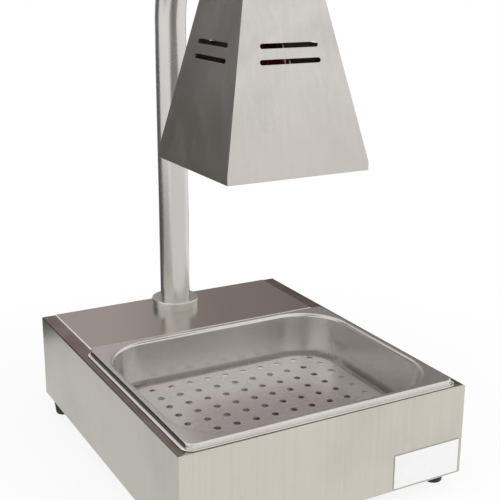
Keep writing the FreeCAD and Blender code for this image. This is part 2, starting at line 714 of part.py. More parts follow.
def front_panel():
    """The front wall, with a mitred flange turned in at its top and its bottom."""
    piece = Piece("front_panel")
    piece.pad("XZ_Plane", FRONT, FRONT + D.sheet, rectangle(-HALF, HALF, UNDERSIDE, TOP))
    flanges = (
        (D.top_flange, D.front_flange, TOP - D.sheet),
        (D.bottom_flange, D.bottom_flange, UNDERSIDE),
    )
    for width, reach, low in flanges:
        mitred = outline([
            (-HALF, FRONT), (HALF, FRONT), (HALF - width, FRONT + reach), (width - HALF, FRONT + reach),
        ])
        piece.pad("XY_Plane", low, low + D.sheet, mitred)
    along_front = [(x, y) for x, y in base_screw_places() if y.value < (FRONT + D.bottom_flange).value]
    piece.pocket("XY_Plane", UNDERSIDE - D.overrun, UNDERSIDE + D.overrun,
                 *holes(along_front, D.screw_radius + D.bolt_gap))
    for level in (UNDERSIDE, TOP):
        piece.round(D.bend_radius, lies_at(1, FRONT), lies_at(2, level), runs_along(0))


def side_panel(name, side):
    """A side wall with flanges turned in at its top, its bottom and its rear edge."""
    piece = Piece(name)
    low, high = sorted((side * HALF, side * (HALF - D.sheet)), key=lambda size: size.value)
    start = FRONT + D.sheet + D.seam
    piece.pad("YZ_Plane", low, high, rectangle(start, PANEL_INNER, UNDERSIDE, TOP))
    piece.pad("XY_Plane", TOP - D.sheet, TOP, flange(side, D.top_flange, D.front_flange))
    piece.pad("XY_Plane", UNDERSIDE, UNDERSIDE + D.sheet, flange(side, D.bottom_flange, D.bottom_flange))
    piece.pad("XZ_Plane", PANEL_INNER - D.sheet, PANEL_INNER,
              rectangle(side * HALF, side * (HALF - D.rear_return), UNDERSIDE, TOP))
    feet = [(x, y) for hand, _, x, y in feet_places() if hand == side]
    piece.pocket("XY_Plane", UNDERSIDE - D.overrun, UNDERSIDE + D.overrun,
                 *holes(feet, D.bolt_radius + D.bolt_gap))
    screws = [(x, y) for x, y in base_screw_places()
              if x.value * side > (HALF - D.bottom_flange).value]
    piece.pocket("XY_Plane", UNDERSIDE - D.overrun, UNDERSIDE + D.overrun,
                 *holes(screws, D.screw_radius + D.bolt_gap))
    rear = [(x, z) for x, z in rear_screw_places() if x.value * side > (HALF - D.rear_return).value]
    piece.pocket("XZ_Plane", PANEL_INNER - D.overrun, PANEL_INNER + D.overrun,
                 *holes(rear, D.screw_radius + D.bolt_gap))
    for level in (UNDERSIDE, TOP):
        piece.round(D.bend_radius, lies_at(0, side * HALF), lies_at(2, level), runs_along(1))


def deck():
    """The raised plate behind the pan, its skirt folded down into the opening of the flanges."""
    piece = Piece("deck")
    low = TOP - 2 * D.sheet
    piece.pad("XY_Plane", DECK_UNDER, DECK_TOP, rectangle(-DECK_EDGE, DECK_EDGE, DECK_FRONT, PANEL_INNER))
    for side in SIDES:
        piece.pad("XY_Plane", low, DECK_TOP,
                  rectangle(side * DECK_EDGE, side * (DECK_EDGE - D.sheet), DECK_FRONT, PANEL_INNER))
        piece.pad("XY_Plane", low, low + D.sheet,
                  rectangle(side * (DECK_EDGE - D.sheet), side * (DECK_EDGE + D.deck_tuck),
                            DECK_FRONT, PANEL_INNER - D.sheet - D.seam))
    for start in (DECK_FRONT, PANEL_INNER - D.sheet):
        piece.pad("XZ_Plane", start, start + D.sheet,
                  rectangle(-DECK_EDGE, DECK_EDGE, TOP - D.deck_fold, DECK_TOP))
    piece.pocket("XY_Plane", TOP, DECK_TOP + D.overrun, circle(0, POST_Y, D.tube_radius + D.tube_gap))
    piece.round(D.bend_radius, lies_at(2, DECK_TOP), lies_within(0, -DECK_EDGE, DECK_EDGE),
                lambda edge: not edge.Closed)


def divider():
    """The wall between the pan's well and the wiring, with a lip under the pan's rear rim."""
    piece = Piece("divider")
    reach = HALF - D.sheet - D.divider_gap
    lip = FLANGE_EDGE - D.seam
    step = TOP - D.sheet - D.divider_gap
    face = DECK_FRONT - D.sheet
    piece.pad("XZ_Plane", face, DECK_FRONT, outline([
        (-reach, BASE_TOP), (reach, BASE_TOP), (reach, step), (lip, step),
        (lip, TOP), (-lip, TOP), (-lip, step), (-reach, step),
    ]))
    piece.pad("XY_Plane", TOP - D.sheet, TOP, rectangle(-lip, lip, DECK_FRONT - D.divider_lip, DECK_FRONT))
    piece.pad("XY_Plane", BASE_TOP, BASE_TOP + D.sheet,
              rectangle(-reach, reach, face, DECK_FRONT + D.divider_foot))
    tails = [(side * D.element_tails / 2, ELEMENT_Z) for side in SIDES]
    cut = (face - D.overrun, DECK_FRONT + D.overrun)
    piece.pocket("XZ_Plane", *cut, *holes(tails, D.sleeve_radius + D.bolt_gap))
    piece.pocket("XZ_Plane", *cut, *holes(thermostat_screw_places(), D.holder_screw_radius + D.bolt_gap))


def base_plate():
    """The plate that closes the box from below, with vents and a fold for the rear panel's screws."""
    piece = Piece("base_plate")
    reach = HALF - D.sheet - D.base_gap
    fold = HALF - D.base_upturn_inset
    near = FRONT + D.sheet + D.base_gap
    far = PANEL_INNER - D.sheet - D.base_gap
    piece.pad("XY_Plane", UNDERSIDE + D.sheet, BASE_TOP, outline([
        (-reach, near), (reach, near), (reach, far), (fold, far),
        (fold, PANEL_INNER), (-fold, PANEL_INNER), (-fold, far), (-reach, far),
    ]))
    piece.pad("XZ_Plane", PANEL_INNER - D.sheet, PANEL_INNER,
              rectangle(-fold, fold, UNDERSIDE + D.sheet, UNDERSIDE + D.base_upturn))
    cut = (UNDERSIDE - D.overrun, BASE_TOP + D.overrun)
    feet_at = [(x, y) for _, _, x, y in feet_places()]
    piece.pocket("XY_Plane", *cut, *holes(feet_at, D.bolt_radius + D.bolt_gap))
    piece.pocket("XY_Plane", *cut, *holes(base_screw_places(), D.screw_radius + D.bolt_gap))
    bottom = [(x, z) for x, z in rear_screw_places() if abs(x.value) < fold.value]
    piece.pocket("XZ_Plane", PANEL_INNER - D.overrun, PANEL_INNER + D.overrun,
                 *holes(bottom, D.screw_radius + D.bolt_gap))
    for number in range(BASE_VENTS):
        y = (FRONT + DECK_FRONT) / 2 + (number - (BASE_VENTS - 1) / 2) * D.base_vent_pitch
        for side in SIDES:
            middle = side * (SHIELD_HALF / 2)
            half = D.base_vent_length / 2
            piece.pocket("XY_Plane", *cut, slot(middle - half, middle + half, y, D.base_vent_radius))


def plate(x, width, height):
    """A rectangle on the rear panel about a fitting's place."""
    return rectangle(x - width / 2, x + width / 2, FITTING_Z - height / 2, FITTING_Z + height / 2)


def rear_panel():
    """The screwed panel that closes the wiring at the back and carries the inlet and switches."""
    piece = Piece("rear_panel")
    piece.pad("XZ_Plane", PANEL_INNER, REAR, rectangle(-HALF, HALF, UNDERSIDE, TOP))
    cut = (PANEL_INNER - D.overrun, REAR + D.overrun)
    piece.pocket("XZ_Plane", *cut, *holes(rear_screw_places(), D.screw_radius + D.bolt_gap))
    fittings = (
        (D.inlet_x, D.inlet_width, D.inlet_body_height),
        (D.lamp_switch_x, D.switch_width, D.switch_height),
        (D.heater_switch_x, D.switch_width, D.switch_height),
    )
    for x, width, height in fittings:
        piece.pocket("XZ_Plane", *cut, plate(x, width + 2 * D.fitting_gap, height + 2 * D.fitting_gap))
    screws = [(D.inlet_x + side * D.inlet_screw_spread / 2, FITTING_Z) for side in SIDES]
    piece.pocket("XZ_Plane", *cut, *holes(screws, D.screw_radius + D.bolt_gap))
    for number in range(REAR_VENTS):
        x = D.rear_vent_middle + (number - (REAR_VENTS - 1) / 2) * D.rear_vent_pitch
        low = FITTING_Z - D.rear_vent_length / 2
        piece.pocket("XZ_Plane", *cut, upright_slot(x, low, low + D.rear_vent_length, D.rear_vent_radius))


def badge_plate():
    """The bare plate at the lower right of the front."""
    piece = Piece("badge_plate")
    right = HALF - D.badge_side
    low = UNDERSIDE + D.badge_low
    piece.pad("XZ_Plane", FRONT - D.badge_thickness, FRONT,
              rounded(right - D.badge_width, right, low, low + D.badge_height, D.badge_corner))


def screw(name, radius, length, head_radius, head_height):
    """A screw with a domed cross head: its head stands up from z = 0 and its shank hangs down."""
    piece = Piece(name, listed=False)
    piece.turn([
        (0, -length), (radius, -length), (radius, 0), (head_radius, 0), (head_radius, head_height / 2),
        (head_radius / 2, head_height), (0, head_height),
    ])
    arm = head_radius * CROSS_SHARE
    w = D.screw_slot_width / 2
    cross = outline([
        (-arm, -w), (-w, -w), (-w, -arm), (w, -arm), (w, -w), (arm, -w),
        (arm, w), (w, w), (w, arm), (-w, arm), (-w, w), (-arm, w),
    ])
    piece.pocket("XY_Plane", head_height / 3, head_height + D.overrun, cross)
    return piece


def nut(name, x, y, low, height, flats, bore):
    """A hexagon nut standing on its face."""
    piece = Piece(name, listed=False)
    piece.pad("XY_Plane", 0, height, hexagon(flats), circle(0, 0, bore))
    return piece.place(x, y, low)


def feet():
    """Four rubber feet, each with a recess below for its screw and washer."""
    names = {(-1, -1): "front_left", (1, -1): "front_right", (-1, 1): "rear_left", (1, 1): "rear_right"}
    bore = D.bolt_radius + D.bolt_gap
    web = D.foot_height - D.foot_web
    screws, washers, nuts = [], [], []
    for side, end, x, y in feet_places():
        foot = Piece(f"foot_{names[side, end]}").turn([
            (D.foot_recess_radius, 0), (D.foot_base_radius, 0), (D.foot_top_radius, D.foot_height),
            (bore, D.foot_height), (bore, web), (D.foot_recess_radius, web),
        ])
        foot.round(D.foot_edge, lies_at(2, as_size(0)),
                   lambda edge: edge.BoundBox.XLength > 2 * D.foot_recess_radius.value + TOUCH)
        foot.place(x, y)
        washer = Piece("foot_washer", listed=False)
        washer.pad("XY_Plane", 0, D.washer_height, circle(0, 0, D.washer_radius), circle(0, 0, bore))
        washers.append(washer.place(x, y, web - D.washer_height))
        shank = D.washer_height + D.foot_web + 2 * D.sheet + D.nut_height + D.bolt_end
        bolt = screw("foot_screw", D.bolt_radius, shank, D.bolt_head_radius, D.bolt_head_height)
        screws.append(bolt.place(x, y, web - D.washer_height, ALONG_X, HALF_TURN))
        nuts.append(nut("foot_nut", x, y, BASE_TOP, D.nut_height, D.nut_flats, bore))
    group("foot_screws", screws)
    group("foot_washers", washers)
    group("foot_nuts", nuts)


def case_screws():
    """The screws of the base plate and of the rear panel."""
    sizes = (D.screw_radius, D.screw_length, D.screw_head_radius, D.screw_head_height)
    group("base_screws", [
        screw("base_screw", *sizes).place(x, y, UNDERSIDE, ALONG_X, HALF_TURN)
        for x, y in base_screw_places()
    ])
    group("rear_screws", [
        screw("rear_screw", *sizes).place(x, REAR, z, ALONG_X, -QUARTER_TURN)
        for x, z in rear_screw_places()
    ])


def pan_outline(grow, corner):
    """A rounded outline about the pan's middle, larger than its lip by an amount."""
    x = PAN_WIDTH / 2 + grow
    y = PAN_DEPTH / 2 + grow
    return rounded(-x, x, PAN_Y - y, PAN_Y + y, corner)


def bowl_run():
    """How far the bowl's wall runs in from the flat rim to the floor, and the wall's straight length."""
    turn = math.pi / 2 - math.atan(D.pan_draw_in.value / D.pan_bowl_depth.value)
    across, along = math.sin(turn), math.cos(turn)
    curves = D.pan_edge + D.pan_floor_radius
    straight = (PAN_TOP - PAN_FLOOR - curves * (1 - along)) / across
    return curves * across + straight * along, straight, across, along


def pan():
    """The pan: a turned-out lip, an upright step, a flat rim and a deep bowl with wide corners."""
    piece = Piece("pan")
    skin = D.pan_sheet
    step = -D.pan_lip
    rim = -(D.pan_lip + D.pan_rim)
    run, straight, across, along = bowl_run()
    mouth = PAN_WIDTH / 2 + rim
    side_start = PAN_Y + D.pan_corner - (PAN_DEPTH / 2 + rim)

    def bend(x, z, radius, hand):
        """The point where a bend between level and leaning sheet ends, inward or outward."""
        return x + radius * across * hand, z + radius * (1 - along) * hand

    foot = mouth - run
    wall_top = bend(mouth, PAN_TOP, D.pan_edge, -1)
    wall_foot = bend(foot, PAN_FLOOR, D.pan_floor_radius, 1)
    outer_top = bend(mouth, PAN_TOP - skin, D.pan_edge - skin, -1)
    outer_foot = bend(foot, PAN_FLOOR - skin, D.pan_floor_radius + skin, 1)
    profile = piece.sketch("XZ_Plane", side_start, [outline([
        (mouth, PAN_TOP), (*wall_top, D.pan_edge), wall_foot, (foot, PAN_FLOOR, -D.pan_floor_radius),
        (foot, PAN_FLOOR - skin), (*outer_foot, D.pan_floor_radius + skin), outer_top,
        (mouth, PAN_TOP - skin, skin - D.pan_edge),
    ])])
    spine = piece.sketch("XY_Plane", PAN_TOP, [pan_outline(rim, D.pan_corner)])
    piece.pipe(profile, spine)
    piece.pad("XY_Plane", PAN_FLOOR - skin, PAN_FLOOR, pan_outline(rim - run, D.pan_corner - run))
    piece.pad("XY_Plane", PAN_TOP - skin, PAN_TOP,
              pan_outline(step, D.pan_outer_corner), pan_outline(rim, D.pan_corner))
    piece.pad("XY_Plane", PAN_SEAT, PAN_TOP,
              pan_outline(step, D.pan_outer_corner), pan_outline(step - skin, D.pan_outer_corner - skin))
    piece.pad("XY_Plane", PAN_SEAT, PAN_SEAT + D.pan_lip_height,
              pan_outline(as_size(0), D.pan_outer_corner + D.pan_lip),
              pan_outline(step - skin, D.pan_outer_corner - skin))
    piece.round(D.pan_shoulder, lies_at(2, PAN_TOP),
                lambda edge: abs(edge.BoundBox.Center.x) > mouth.value + TOUCH
                or abs(edge.BoundBox.Center.y - PAN_Y.value) > PAN_DEPTH.value / 2 + rim.value + TOUCH)


def drain_holes(length):
    """How far a row of drain holes lies from the middle, hole by hole, across a length of the pan."""
    count = int((length.value - 2 * D.drain_margin.value) / D.drain_pitch.value) + 1
    return [(number - (count - 1) / 2) * D.drain_pitch for number in range(count)]


def drain_plate():
    """The perforated plate that lifts the food off the pan's floor, on four feet."""
    piece = Piece("drain_plate")
    gap = D.drain_gap
    top = PAN_FLOOR + D.drain_height + D.drain_sheet
    inner = bowl_run()[0] - D.pan_floor_radius / 2 + gap
    inset = D.pan_lip + D.pan_rim + inner
    corner = D.pan_corner - inner
    piece.pad("XY_Plane", top - D.drain_fold, top, pan_outline(-inset, corner))
    piece.round(D.drain_sheet, lies_at(2, top))
    piece.pocket("XY_Plane", top - D.drain_fold - D.overrun, top - D.drain_sheet,
                 pan_outline(-(inset + D.drain_sheet), corner - D.drain_sheet))
    across = PAN_WIDTH / 2 - D.drain_foot_side
    along = PAN_DEPTH / 2 - D.drain_foot_end
    feet_at = [(sx * across, PAN_Y + sy * along) for sx in SIDES for sy in SIDES]
    for x, y in feet_at:
        piece.pad("XY_Plane", PAN_FLOOR + D.seat_gap, top - D.drain_sheet,
                  circle(x, y, D.drain_foot_radius))
    for y in drain_holes(PAN_DEPTH):
        row = [(x, PAN_Y + y) for x in drain_holes(PAN_WIDTH)]
        piece.pocket("XY_Plane", top - D.drain_sheet - D.seam, top + D.overrun,
                     *holes(row, D.drain_hole_radius))


def collar(name, y, low):
    """A ring collar round the tube: a floor with a bore and an upright outer wall."""
    bore = D.tube_radius + D.tube_gap
    inner = D.collar_radius - D.collar_wall
    piece = Piece(name).turn([
        (bore, 0), (D.collar_radius, 0), (D.collar_radius, D.collar_height),
        (inner, D.collar_height), (inner, D.collar_floor), (bore, D.collar_floor),
    ])
    piece.round(D.collar_edge, lies_at(2, D.collar_height))
    piece.place(0, y, low)


def post():
    """The post: a tube that rises from the deck and bends forward and down into the shade."""
    piece = Piece("post_tube")
    start = DECK_UNDER - D.post_plate_thickness
    bend = DECK_TOP + D.post_straight
    profile = piece.sketch("XY_Plane", start, [
        circle(0, POST_Y, D.tube_radius), circle(0, POST_Y, D.tube_radius - D.tube_wall),
    ])
    spine = piece.sketch("YZ_Plane", 0, [outline([
        (POST_Y, start), (POST_Y, bend), (POST_Y - D.crook_radius, CROOK_TOP, D.crook_radius),
        (LAMP_Y + D.crook_end_radius, CROOK_TOP), (LAMP_Y, SHADE_TOP, D.crook_end_radius),
        (LAMP_Y, HANGER_UNDER),
    ], closed=False)])
    piece.pipe(profile, spine)
    collar("post_collar", POST_Y, DECK_TOP)


def stud_places():
    for side in SIDES:
        for end in SIDES:
            yield side * D.stud_spread_x / 2, POST_Y + end * D.stud_spread_y / 2


def post_plate():
    """The plate under the deck that the post is welded into, on four studs of the deck."""
    low = DECK_UNDER - D.post_plate_thickness
    plate = Piece("post_plate")
    plate.pad("XY_Plane", low, DECK_UNDER,
              rounded(-D.post_plate_width / 2, D.post_plate_width / 2, POST_Y - D.post_plate_depth / 2,
                      POST_Y + D.post_plate_depth / 2, D.bolt_head_radius))
    plate.pocket("XY_Plane", low - D.overrun, DECK_UNDER + D.overrun,
                 circle(0, POST_Y, D.tube_radius + D.tube_gap))
    plate.pocket("XY_Plane", low - D.overrun, DECK_UNDER + D.overrun,
                 *holes(stud_places(), D.bolt_radius + D.bolt_gap))
    studs, nuts = [], []
    for x, y in stud_places():
        stud = Piece("post_stud", listed=False)
        stud.pad("XY_Plane", low - D.nut_height - D.bolt_end, DECK_UNDER, circle(x, y, D.bolt_radius))
        studs.append(stud)
        nuts.append(nut("post_nut", x, y, low - D.nut_height, D.nut_height, D.nut_flats,
                        D.bolt_radius + D.bolt_gap))
    group("post_studs", studs)
    group("post_nuts", nuts)


def square(half):
    return rectangle(-half, half, LAMP_Y - half, LAMP_Y + half)


def shade():
    """The shade: four leaning walls with two vents each, an upright hem and a closed top."""
    piece = Piece("shade")
    low_half = D.shade_base / 2
    top_half = D.shade_top / 2
    hem_top = SHADE_LOW + D.shade_hem
    skin = D.shade_sheet
    lean = (D.shade_base - D.shade_top).value / 2 / (SHADE_TOP - hem_top).value
    lean_skin = skin * math.hypot(1, lean)
    piece.pad("XY_Plane", SHADE_LOW, hem_top, square(low_half))
    piece.loft("XY_Plane", [(hem_top, square(low_half)), (SHADE_TOP, square(top_half))])
    piece.pocket("XY_Plane", SHADE_LOW - D.overrun, hem_top, square(low_half - lean_skin))
    piece.loft("XY_Plane", [
        (hem_top, square(low_half - lean_skin)), (SHADE_UNDER, square(top_half - lean_skin)),
    ], cut=True)
    piece.pocket("XY_Plane", SHADE_UNDER - D.overrun, SHADE_TOP + D.overrun,
                 circle(0, LAMP_Y, D.tube_radius + D.tube_gap))
    screws = [(sx * D.hanger_spread / 2, LAMP_Y + sy * D.hanger_spread / 2) for sx in SIDES for sy in SIDES]
    piece.pocket("XY_Plane", SHADE_UNDER - D.overrun, SHADE_TOP + D.overrun,
                 *holes(screws, D.screw_radius + D.bolt_gap))
    for height, length in ((D.vent_low, D.vent_low_length), (D.vent_high, D.vent_high_length)):
        z = SHADE_LOW + height
        half = length / 2 - D.vent_radius
        piece.pocket("XZ_Plane", LAMP_Y - low_half - D.overrun, LAMP_Y + low_half + D.overrun,
                     slot(-half, half, z, D.vent_radius))
        piece.pocket("YZ_Plane", -low_half - D.overrun, low_half + D.overrun,
                     slot(LAMP_Y - half, LAMP_Y + half, z, D.vent_radius))
    piece.round(D.bend_radius, lies_at(2, SHADE_TOP), lambda edge: not edge.Closed)
    collar("shade_collar", LAMP_Y, SHADE_TOP)


def hanger():
    """The plate on the post's end that carries the shade and the lamp holder."""
    plate = Piece("hanger_plate")
    half = D.hanger_width / 2
    plate.pad("XY_Plane", HANGER_UNDER, SHADE_UNDER, square(half))
    cut = (HANGER_UNDER - D.overrun, SHADE_UNDER + D.overrun)
    plate.pocket("XY_Plane", *cut, circle(0, LAMP_Y, D.tube_radius + D.tube_gap))
    screws = [(sx * D.hanger_spread / 2, LAMP_Y + sy * D.hanger_spread / 2) for sx in SIDES for sy in SIDES]
    plate.pocket("XY_Plane", *cut, *holes(screws, D.screw_radius + D.bolt_gap))
    holder = [(side * D.spacer_reach, LAMP_Y) for side in SIDES]
    plate.pocket("XY_Plane", *cut, *holes(holder, D.holder_screw_radius + D.bolt_gap))
    group("hanger_screws", [
        screw("hanger_screw", D.screw_radius, D.screw_length, D.screw_head_radius, D.screw_head_height)
        .place(x, y, SHADE_TOP) for x, y in screws
    ])
    spacers = []
    bolts = []
    for x, y in holder:
        spacer = Piece("spacer", listed=False)
        spacer.pad("XY_Plane", HOLDER_TOP, HANGER_UNDER, circle(x, y, D.spacer_radius),
                   circle(x, y, D.holder_screw_radius + D.bolt_gap))
        spacers.append(spacer)
        length = D.ear_thickness + D.spacer_height + D.hanger_thickness
        bolt = screw("holder_screw", D.holder_screw_radius, length, D.holder_head_radius,
                     D.screw_head_height)
        bolts.append(bolt.place(x, y, HOLDER_TOP - D.ear_thickness, ALONG_X, HALF_TURN))
    group("holder_spacers", spacers)
    group("holder_screws", bolts)


def lamp_holder():
    """The ceramic holder with two ears, and the brass liner that the lamp screws into."""
    piece = Piece("lamp_holder").turn([
        (0, D.holder_bore_depth), (D.holder_bore, D.holder_bore_depth), (D.holder_bore, 0),
        (D.holder_radius, 0), (D.holder_radius, D.holder_height), (0, D.holder_height),
    ])
    piece.round(D.holder_edge, lies_at(2, as_size(0)),
                lambda edge: edge.BoundBox.XLength > 2 * D.holder_bore.value + TOUCH)
    ear = D.spacer_reach + D.ear_end
    half = D.ear_width / 2
    piece.pad("XY_Plane", D.holder_height - D.ear_thickness, D.holder_height,
              rounded(-ear, ear, -half, half, D.holder_edge))
    piece.pocket("XY_Plane", D.holder_height - D.ear_thickness - D.overrun, D.holder_height + D.overrun,
                 *[circle(side * D.spacer_reach, 0, D.holder_screw_radius + D.bolt_gap) for side in SIDES])
    piece.place(0, LAMP_Y, HOLDER_LOW)
    outer = D.holder_bore - D.liner_gap
    liner = Piece("holder_liner")
    liner.pad("XY_Plane", 0, D.liner_height, circle(0, 0, outer), circle(0, 0, outer - D.liner_wall))
    liner.place(0, LAMP_Y, HOLDER_LOW + D.holder_bore_depth - D.liner_height)


GLASS_SHARES = (
    (0.0, 0.0), (0.45, 0.006), (0.8, 0.035), (0.96, 0.085), (1.0, 0.145), (0.975, 0.215),
    (0.87, 0.335), (0.68, 0.475), (0.48, 0.61), (0.35, 0.71), (0.303, 0.76), (0.296, 0.795),
)


def glass_curve(inward):
    """A smooth line from the lamp's front up its side to the neck, moved inward by an amount."""
    points = []
    for across, up in GLASS_SHARES:
        radius = max(across * D.lamp_radius.value - inward, 0.0) if across else 0.0
        points.append(Vector(radius, 0, up * D.lamp_length.value + inward * (up < GLASS_SHARES[3][1])))
    curve = Part.BSplineCurve()
    curve.interpolate(points)
    return curve.toShape(), points[0], points[-1]


def lamp():
    """The reflector lamp: blown glass, its screw cap, and the stem with the filament inside."""
    outer, low, top = glass_curve(0.0)
    inner, inner_low, inner_top = glass_curve(D.lamp_glass.value)
    cap_low = D.lamp_length.value - D.cap_height.value
    throat = D.cap_radius.value - D.cap_thread.value - D.cap_wall.value - D.cap_glass_gap.value
    neck = [top, Vector(throat, 0, cap_low), Vector(throat, 0, cap_low + D.cap_skirt.value),
            Vector(throat - D.lamp_glass.value, 0, cap_low + D.cap_skirt.value),
            Vector(throat - D.lamp_glass.value, 0, cap_low), inner_top]
    edges = [outer]
    edges += [Part.makeLine(a, b) for a, b in zip(neck, neck[1:])]
    edges += [inner, Part.makeLine(inner_low, low)]
    face = Part.Face(Part.Wire(Part.__sortEdges__(edges)))
    glass = DOC.addObject("Part::Feature", "lamp_glass")
    glass.Shape = face.revolve(Vector(), UP, FULL_TURN)
    place(sub_part(glass, "lamp_glass"), 0, LAMP_Y, LAMP_FRONT)

    step = (D.cap_height - D.cap_contact * 2) / (2 * THREAD_TURNS)
    crest = D.cap_radius
    root = D.cap_radius - D.cap_thread
    profile = [(root - D.cap_wall, 0)]
    for number in range(2 * THREAD_TURNS + 1):
        profile.append((root if number % 2 == 0 else crest, step * number))
    shoulder = step * (2 * THREAD_TURNS)
    profile += [
        (D.cap_contact, D.cap_height - D.cap_wall), (D.cap_contact, D.cap_height), (0, D.cap_height),
        (0, shoulder), (root - D.cap_wall, shoulder - D.cap_wall),
    ]
    Piece("lamp_cap").turn(profile).place(0, LAMP_Y, LAMP_FRONT + D.lamp_length - D.cap_height)

    flare = D.cap_radius - D.cap_thread - D.cap_wall - D.cap_glass_gap - D.lamp_glass
    stem = Piece("lamp_filament").turn([
        (0, 0), (D.stem_radius, 0), (D.stem_radius, D.stem_height / 2),
        (flare - D.liner_gap, D.stem_height), (0, D.stem_height),
    ])
    for side in SIDES:
        stem.pad("XY_Plane", -D.filament_drop, D.stem_radius,
                 circle(side * D.filament_reach, 0, D.filament_wire))
    stem.pad("YZ_Plane", -D.filament_reach, D.filament_reach,
             circle(0, -D.filament_drop, D.filament_coil))
    stem.place(0, LAMP_Y, LAMP_FRONT + D.lamp_length - D.cap_height - D.stem_height + D.cap_skirt)


def rounded_path(points, radii):
    """A wire of straight runs joined by tangent arcs, one radius for each inner corner."""
    places = [Vector(*[as_size(c).value for c in point]) for point in points]
    edges = []
    start = places[0]
    for corner, radius in enumerate(radii, start=1):
        before = (places[corner - 1] - places[corner]).normalize()
        after = (places[corner + 1] - places[corner]).normalize()
        half_turn = (math.pi - before.getAngle(after)) / 2
        reach = radius * math.tan(half_turn)
        first = places[corner] + before * reach
        last = places[corner] + after * reach
        inward = (before + after).normalize()
        middle = places[corner] + inward * (radius / math.cos(half_turn) - radius)
        edges.append(Part.makeLine(start, first))
        edges.append(Part.Arc(first, middle, last).toShape())
        start = last
    edges.append(Part.makeLine(start, places[-1]))
    return Part.Wire(edges)


def bend_radii(points, largest):
    """The radius at each inner corner: as large as its two runs allow, up to a largest value."""
    places = [Vector(*[as_size(c).value for c in point]) for point in points]
    radii = []
    for corner in range(1, len(places) - 1):
        before = places[corner - 1] - places[corner]
        after = places[corner + 1] - places[corner]
        half_turn = (math.pi - before.getAngle(after)) / 2
        room = BEND_SHARE * min(before.Length, after.Length) / math.tan(half_turn)
        radii.append(min(room, largest))
    return radii


def lead(points, radius, radii=None):
    """A round lead along a path, checked against its section times its length."""
    path = rounded_path(points, radii or bend_radii(points, D.wire_bend.value))
    start = path.Edges[0].valueAt(path.Edges[0].FirstParameter)
    ahead = path.Edges[0].tangentAt(path.Edges[0].FirstParameter)
    profile = Part.Wire(Part.Circle(start, ahead, radius.value).toShape())
    solid = path.makePipeShell([profile], True, False)
    expected = math.pi * radius.value ** 2 * path.Length
    if abs(solid.Volume - expected) > VOLUME_SHARE * expected:
        raise ValueError("a lead's volume isn't its section times its length")
    return solid


def leads(name, paths):
    """Several insulated leads that share one name."""
    item = DOC.addObject("Part::Feature", name)
    item.Shape = Part.makeCompound([lead(points, D.wire_radius) for points in paths])
    return sub_part(item, name)


def lamp_cable():
    """The sleeved cable from the lamp holder through the post to the terminal block."""
    rear = TERMINAL_Y + D.terminal_depth / 2
    low = BASE_TOP + D.terminal_height / 2
    points = [
        (0, LAMP_Y, HOLDER_TOP), (0, LAMP_Y, CROOK_TOP), (0, POST_Y, CROOK_TOP),
        (0, POST_Y, low), (0, rear, low),
    ]
    radii = [D.crook_end_radius.value, D.crook_radius.value, D.lamp_cable_bend.value]
    item = DOC.addObject("Part::Feature", "lamp_cable")
    item.Shape = lead(points, D.lamp_cable_radius, radii)
    sub_part(item, "lamp_cable")


def heating_element():
    """The tubular element: one loop under the pan, its two ends carried through the divider."""
    piece = Piece("heating_element")
    side = ELEMENT_HALF
    tail = D.element_tails / 2
    r = D.element_bend
    spine = piece.sketch("XY_Plane", ELEMENT_Z, [outline([
        (-tail, ELEMENT_END), (-tail, ELEMENT_REAR + r), (-tail - r, ELEMENT_REAR, -r),
        (r - side, ELEMENT_REAR), (-side, ELEMENT_REAR - r, r),
        (-side, ELEMENT_FRONT + r), (r - side, ELEMENT_FRONT, r),
        (side - r, ELEMENT_FRONT), (side, ELEMENT_FRONT + r, r),
        (side, ELEMENT_REAR - r), (side - r, ELEMENT_REAR, r),
        (tail + r, ELEMENT_REAR), (tail, ELEMENT_REAR + r, -r), (tail, ELEMENT_END),
    ], closed=False)])
    profile = piece.sketch("XZ_Plane", ELEMENT_END, [circle(-tail, ELEMENT_Z, D.element_radius)])
    piece.pipe(profile, spine)
    piece.pad("XZ_Plane", ELEMENT_END, ELEMENT_END + D.element_pin_length,
              circle(-tail, ELEMENT_Z, D.element_pin_radius), circle(tail, ELEMENT_Z, D.element_pin_radius))
    bushes, nuts = [], []
    face = DECK_FRONT - D.sheet
    bore = D.element_radius + D.bolt_gap
    for hand in SIDES:
        bush = Piece("element_bush", listed=False)
        x = hand * tail
        bush.pad("XZ_Plane", face - D.bush_thickness, face, circle(x, ELEMENT_Z, D.bush_radius),
                 circle(x, ELEMENT_Z, bore))
        bush.pad("XZ_Plane", face - D.bush_thickness, DECK_FRONT + D.bush_nut + D.bolt_end,
                 circle(x, ELEMENT_Z, D.sleeve_radius), circle(x, ELEMENT_Z, bore))
        bushes.append(bush)
        locknut = Piece("element_nut", listed=False)
        locknut.pad("XZ_Plane", DECK_FRONT, DECK_FRONT + D.bush_nut,
                    hexagon(D.bush_flats, x, ELEMENT_Z),
                    circle(x, ELEMENT_Z, D.sleeve_radius + D.liner_gap))
        nuts.append(locknut)
    group("element_bushes", bushes)
    group("element_nuts", nuts)


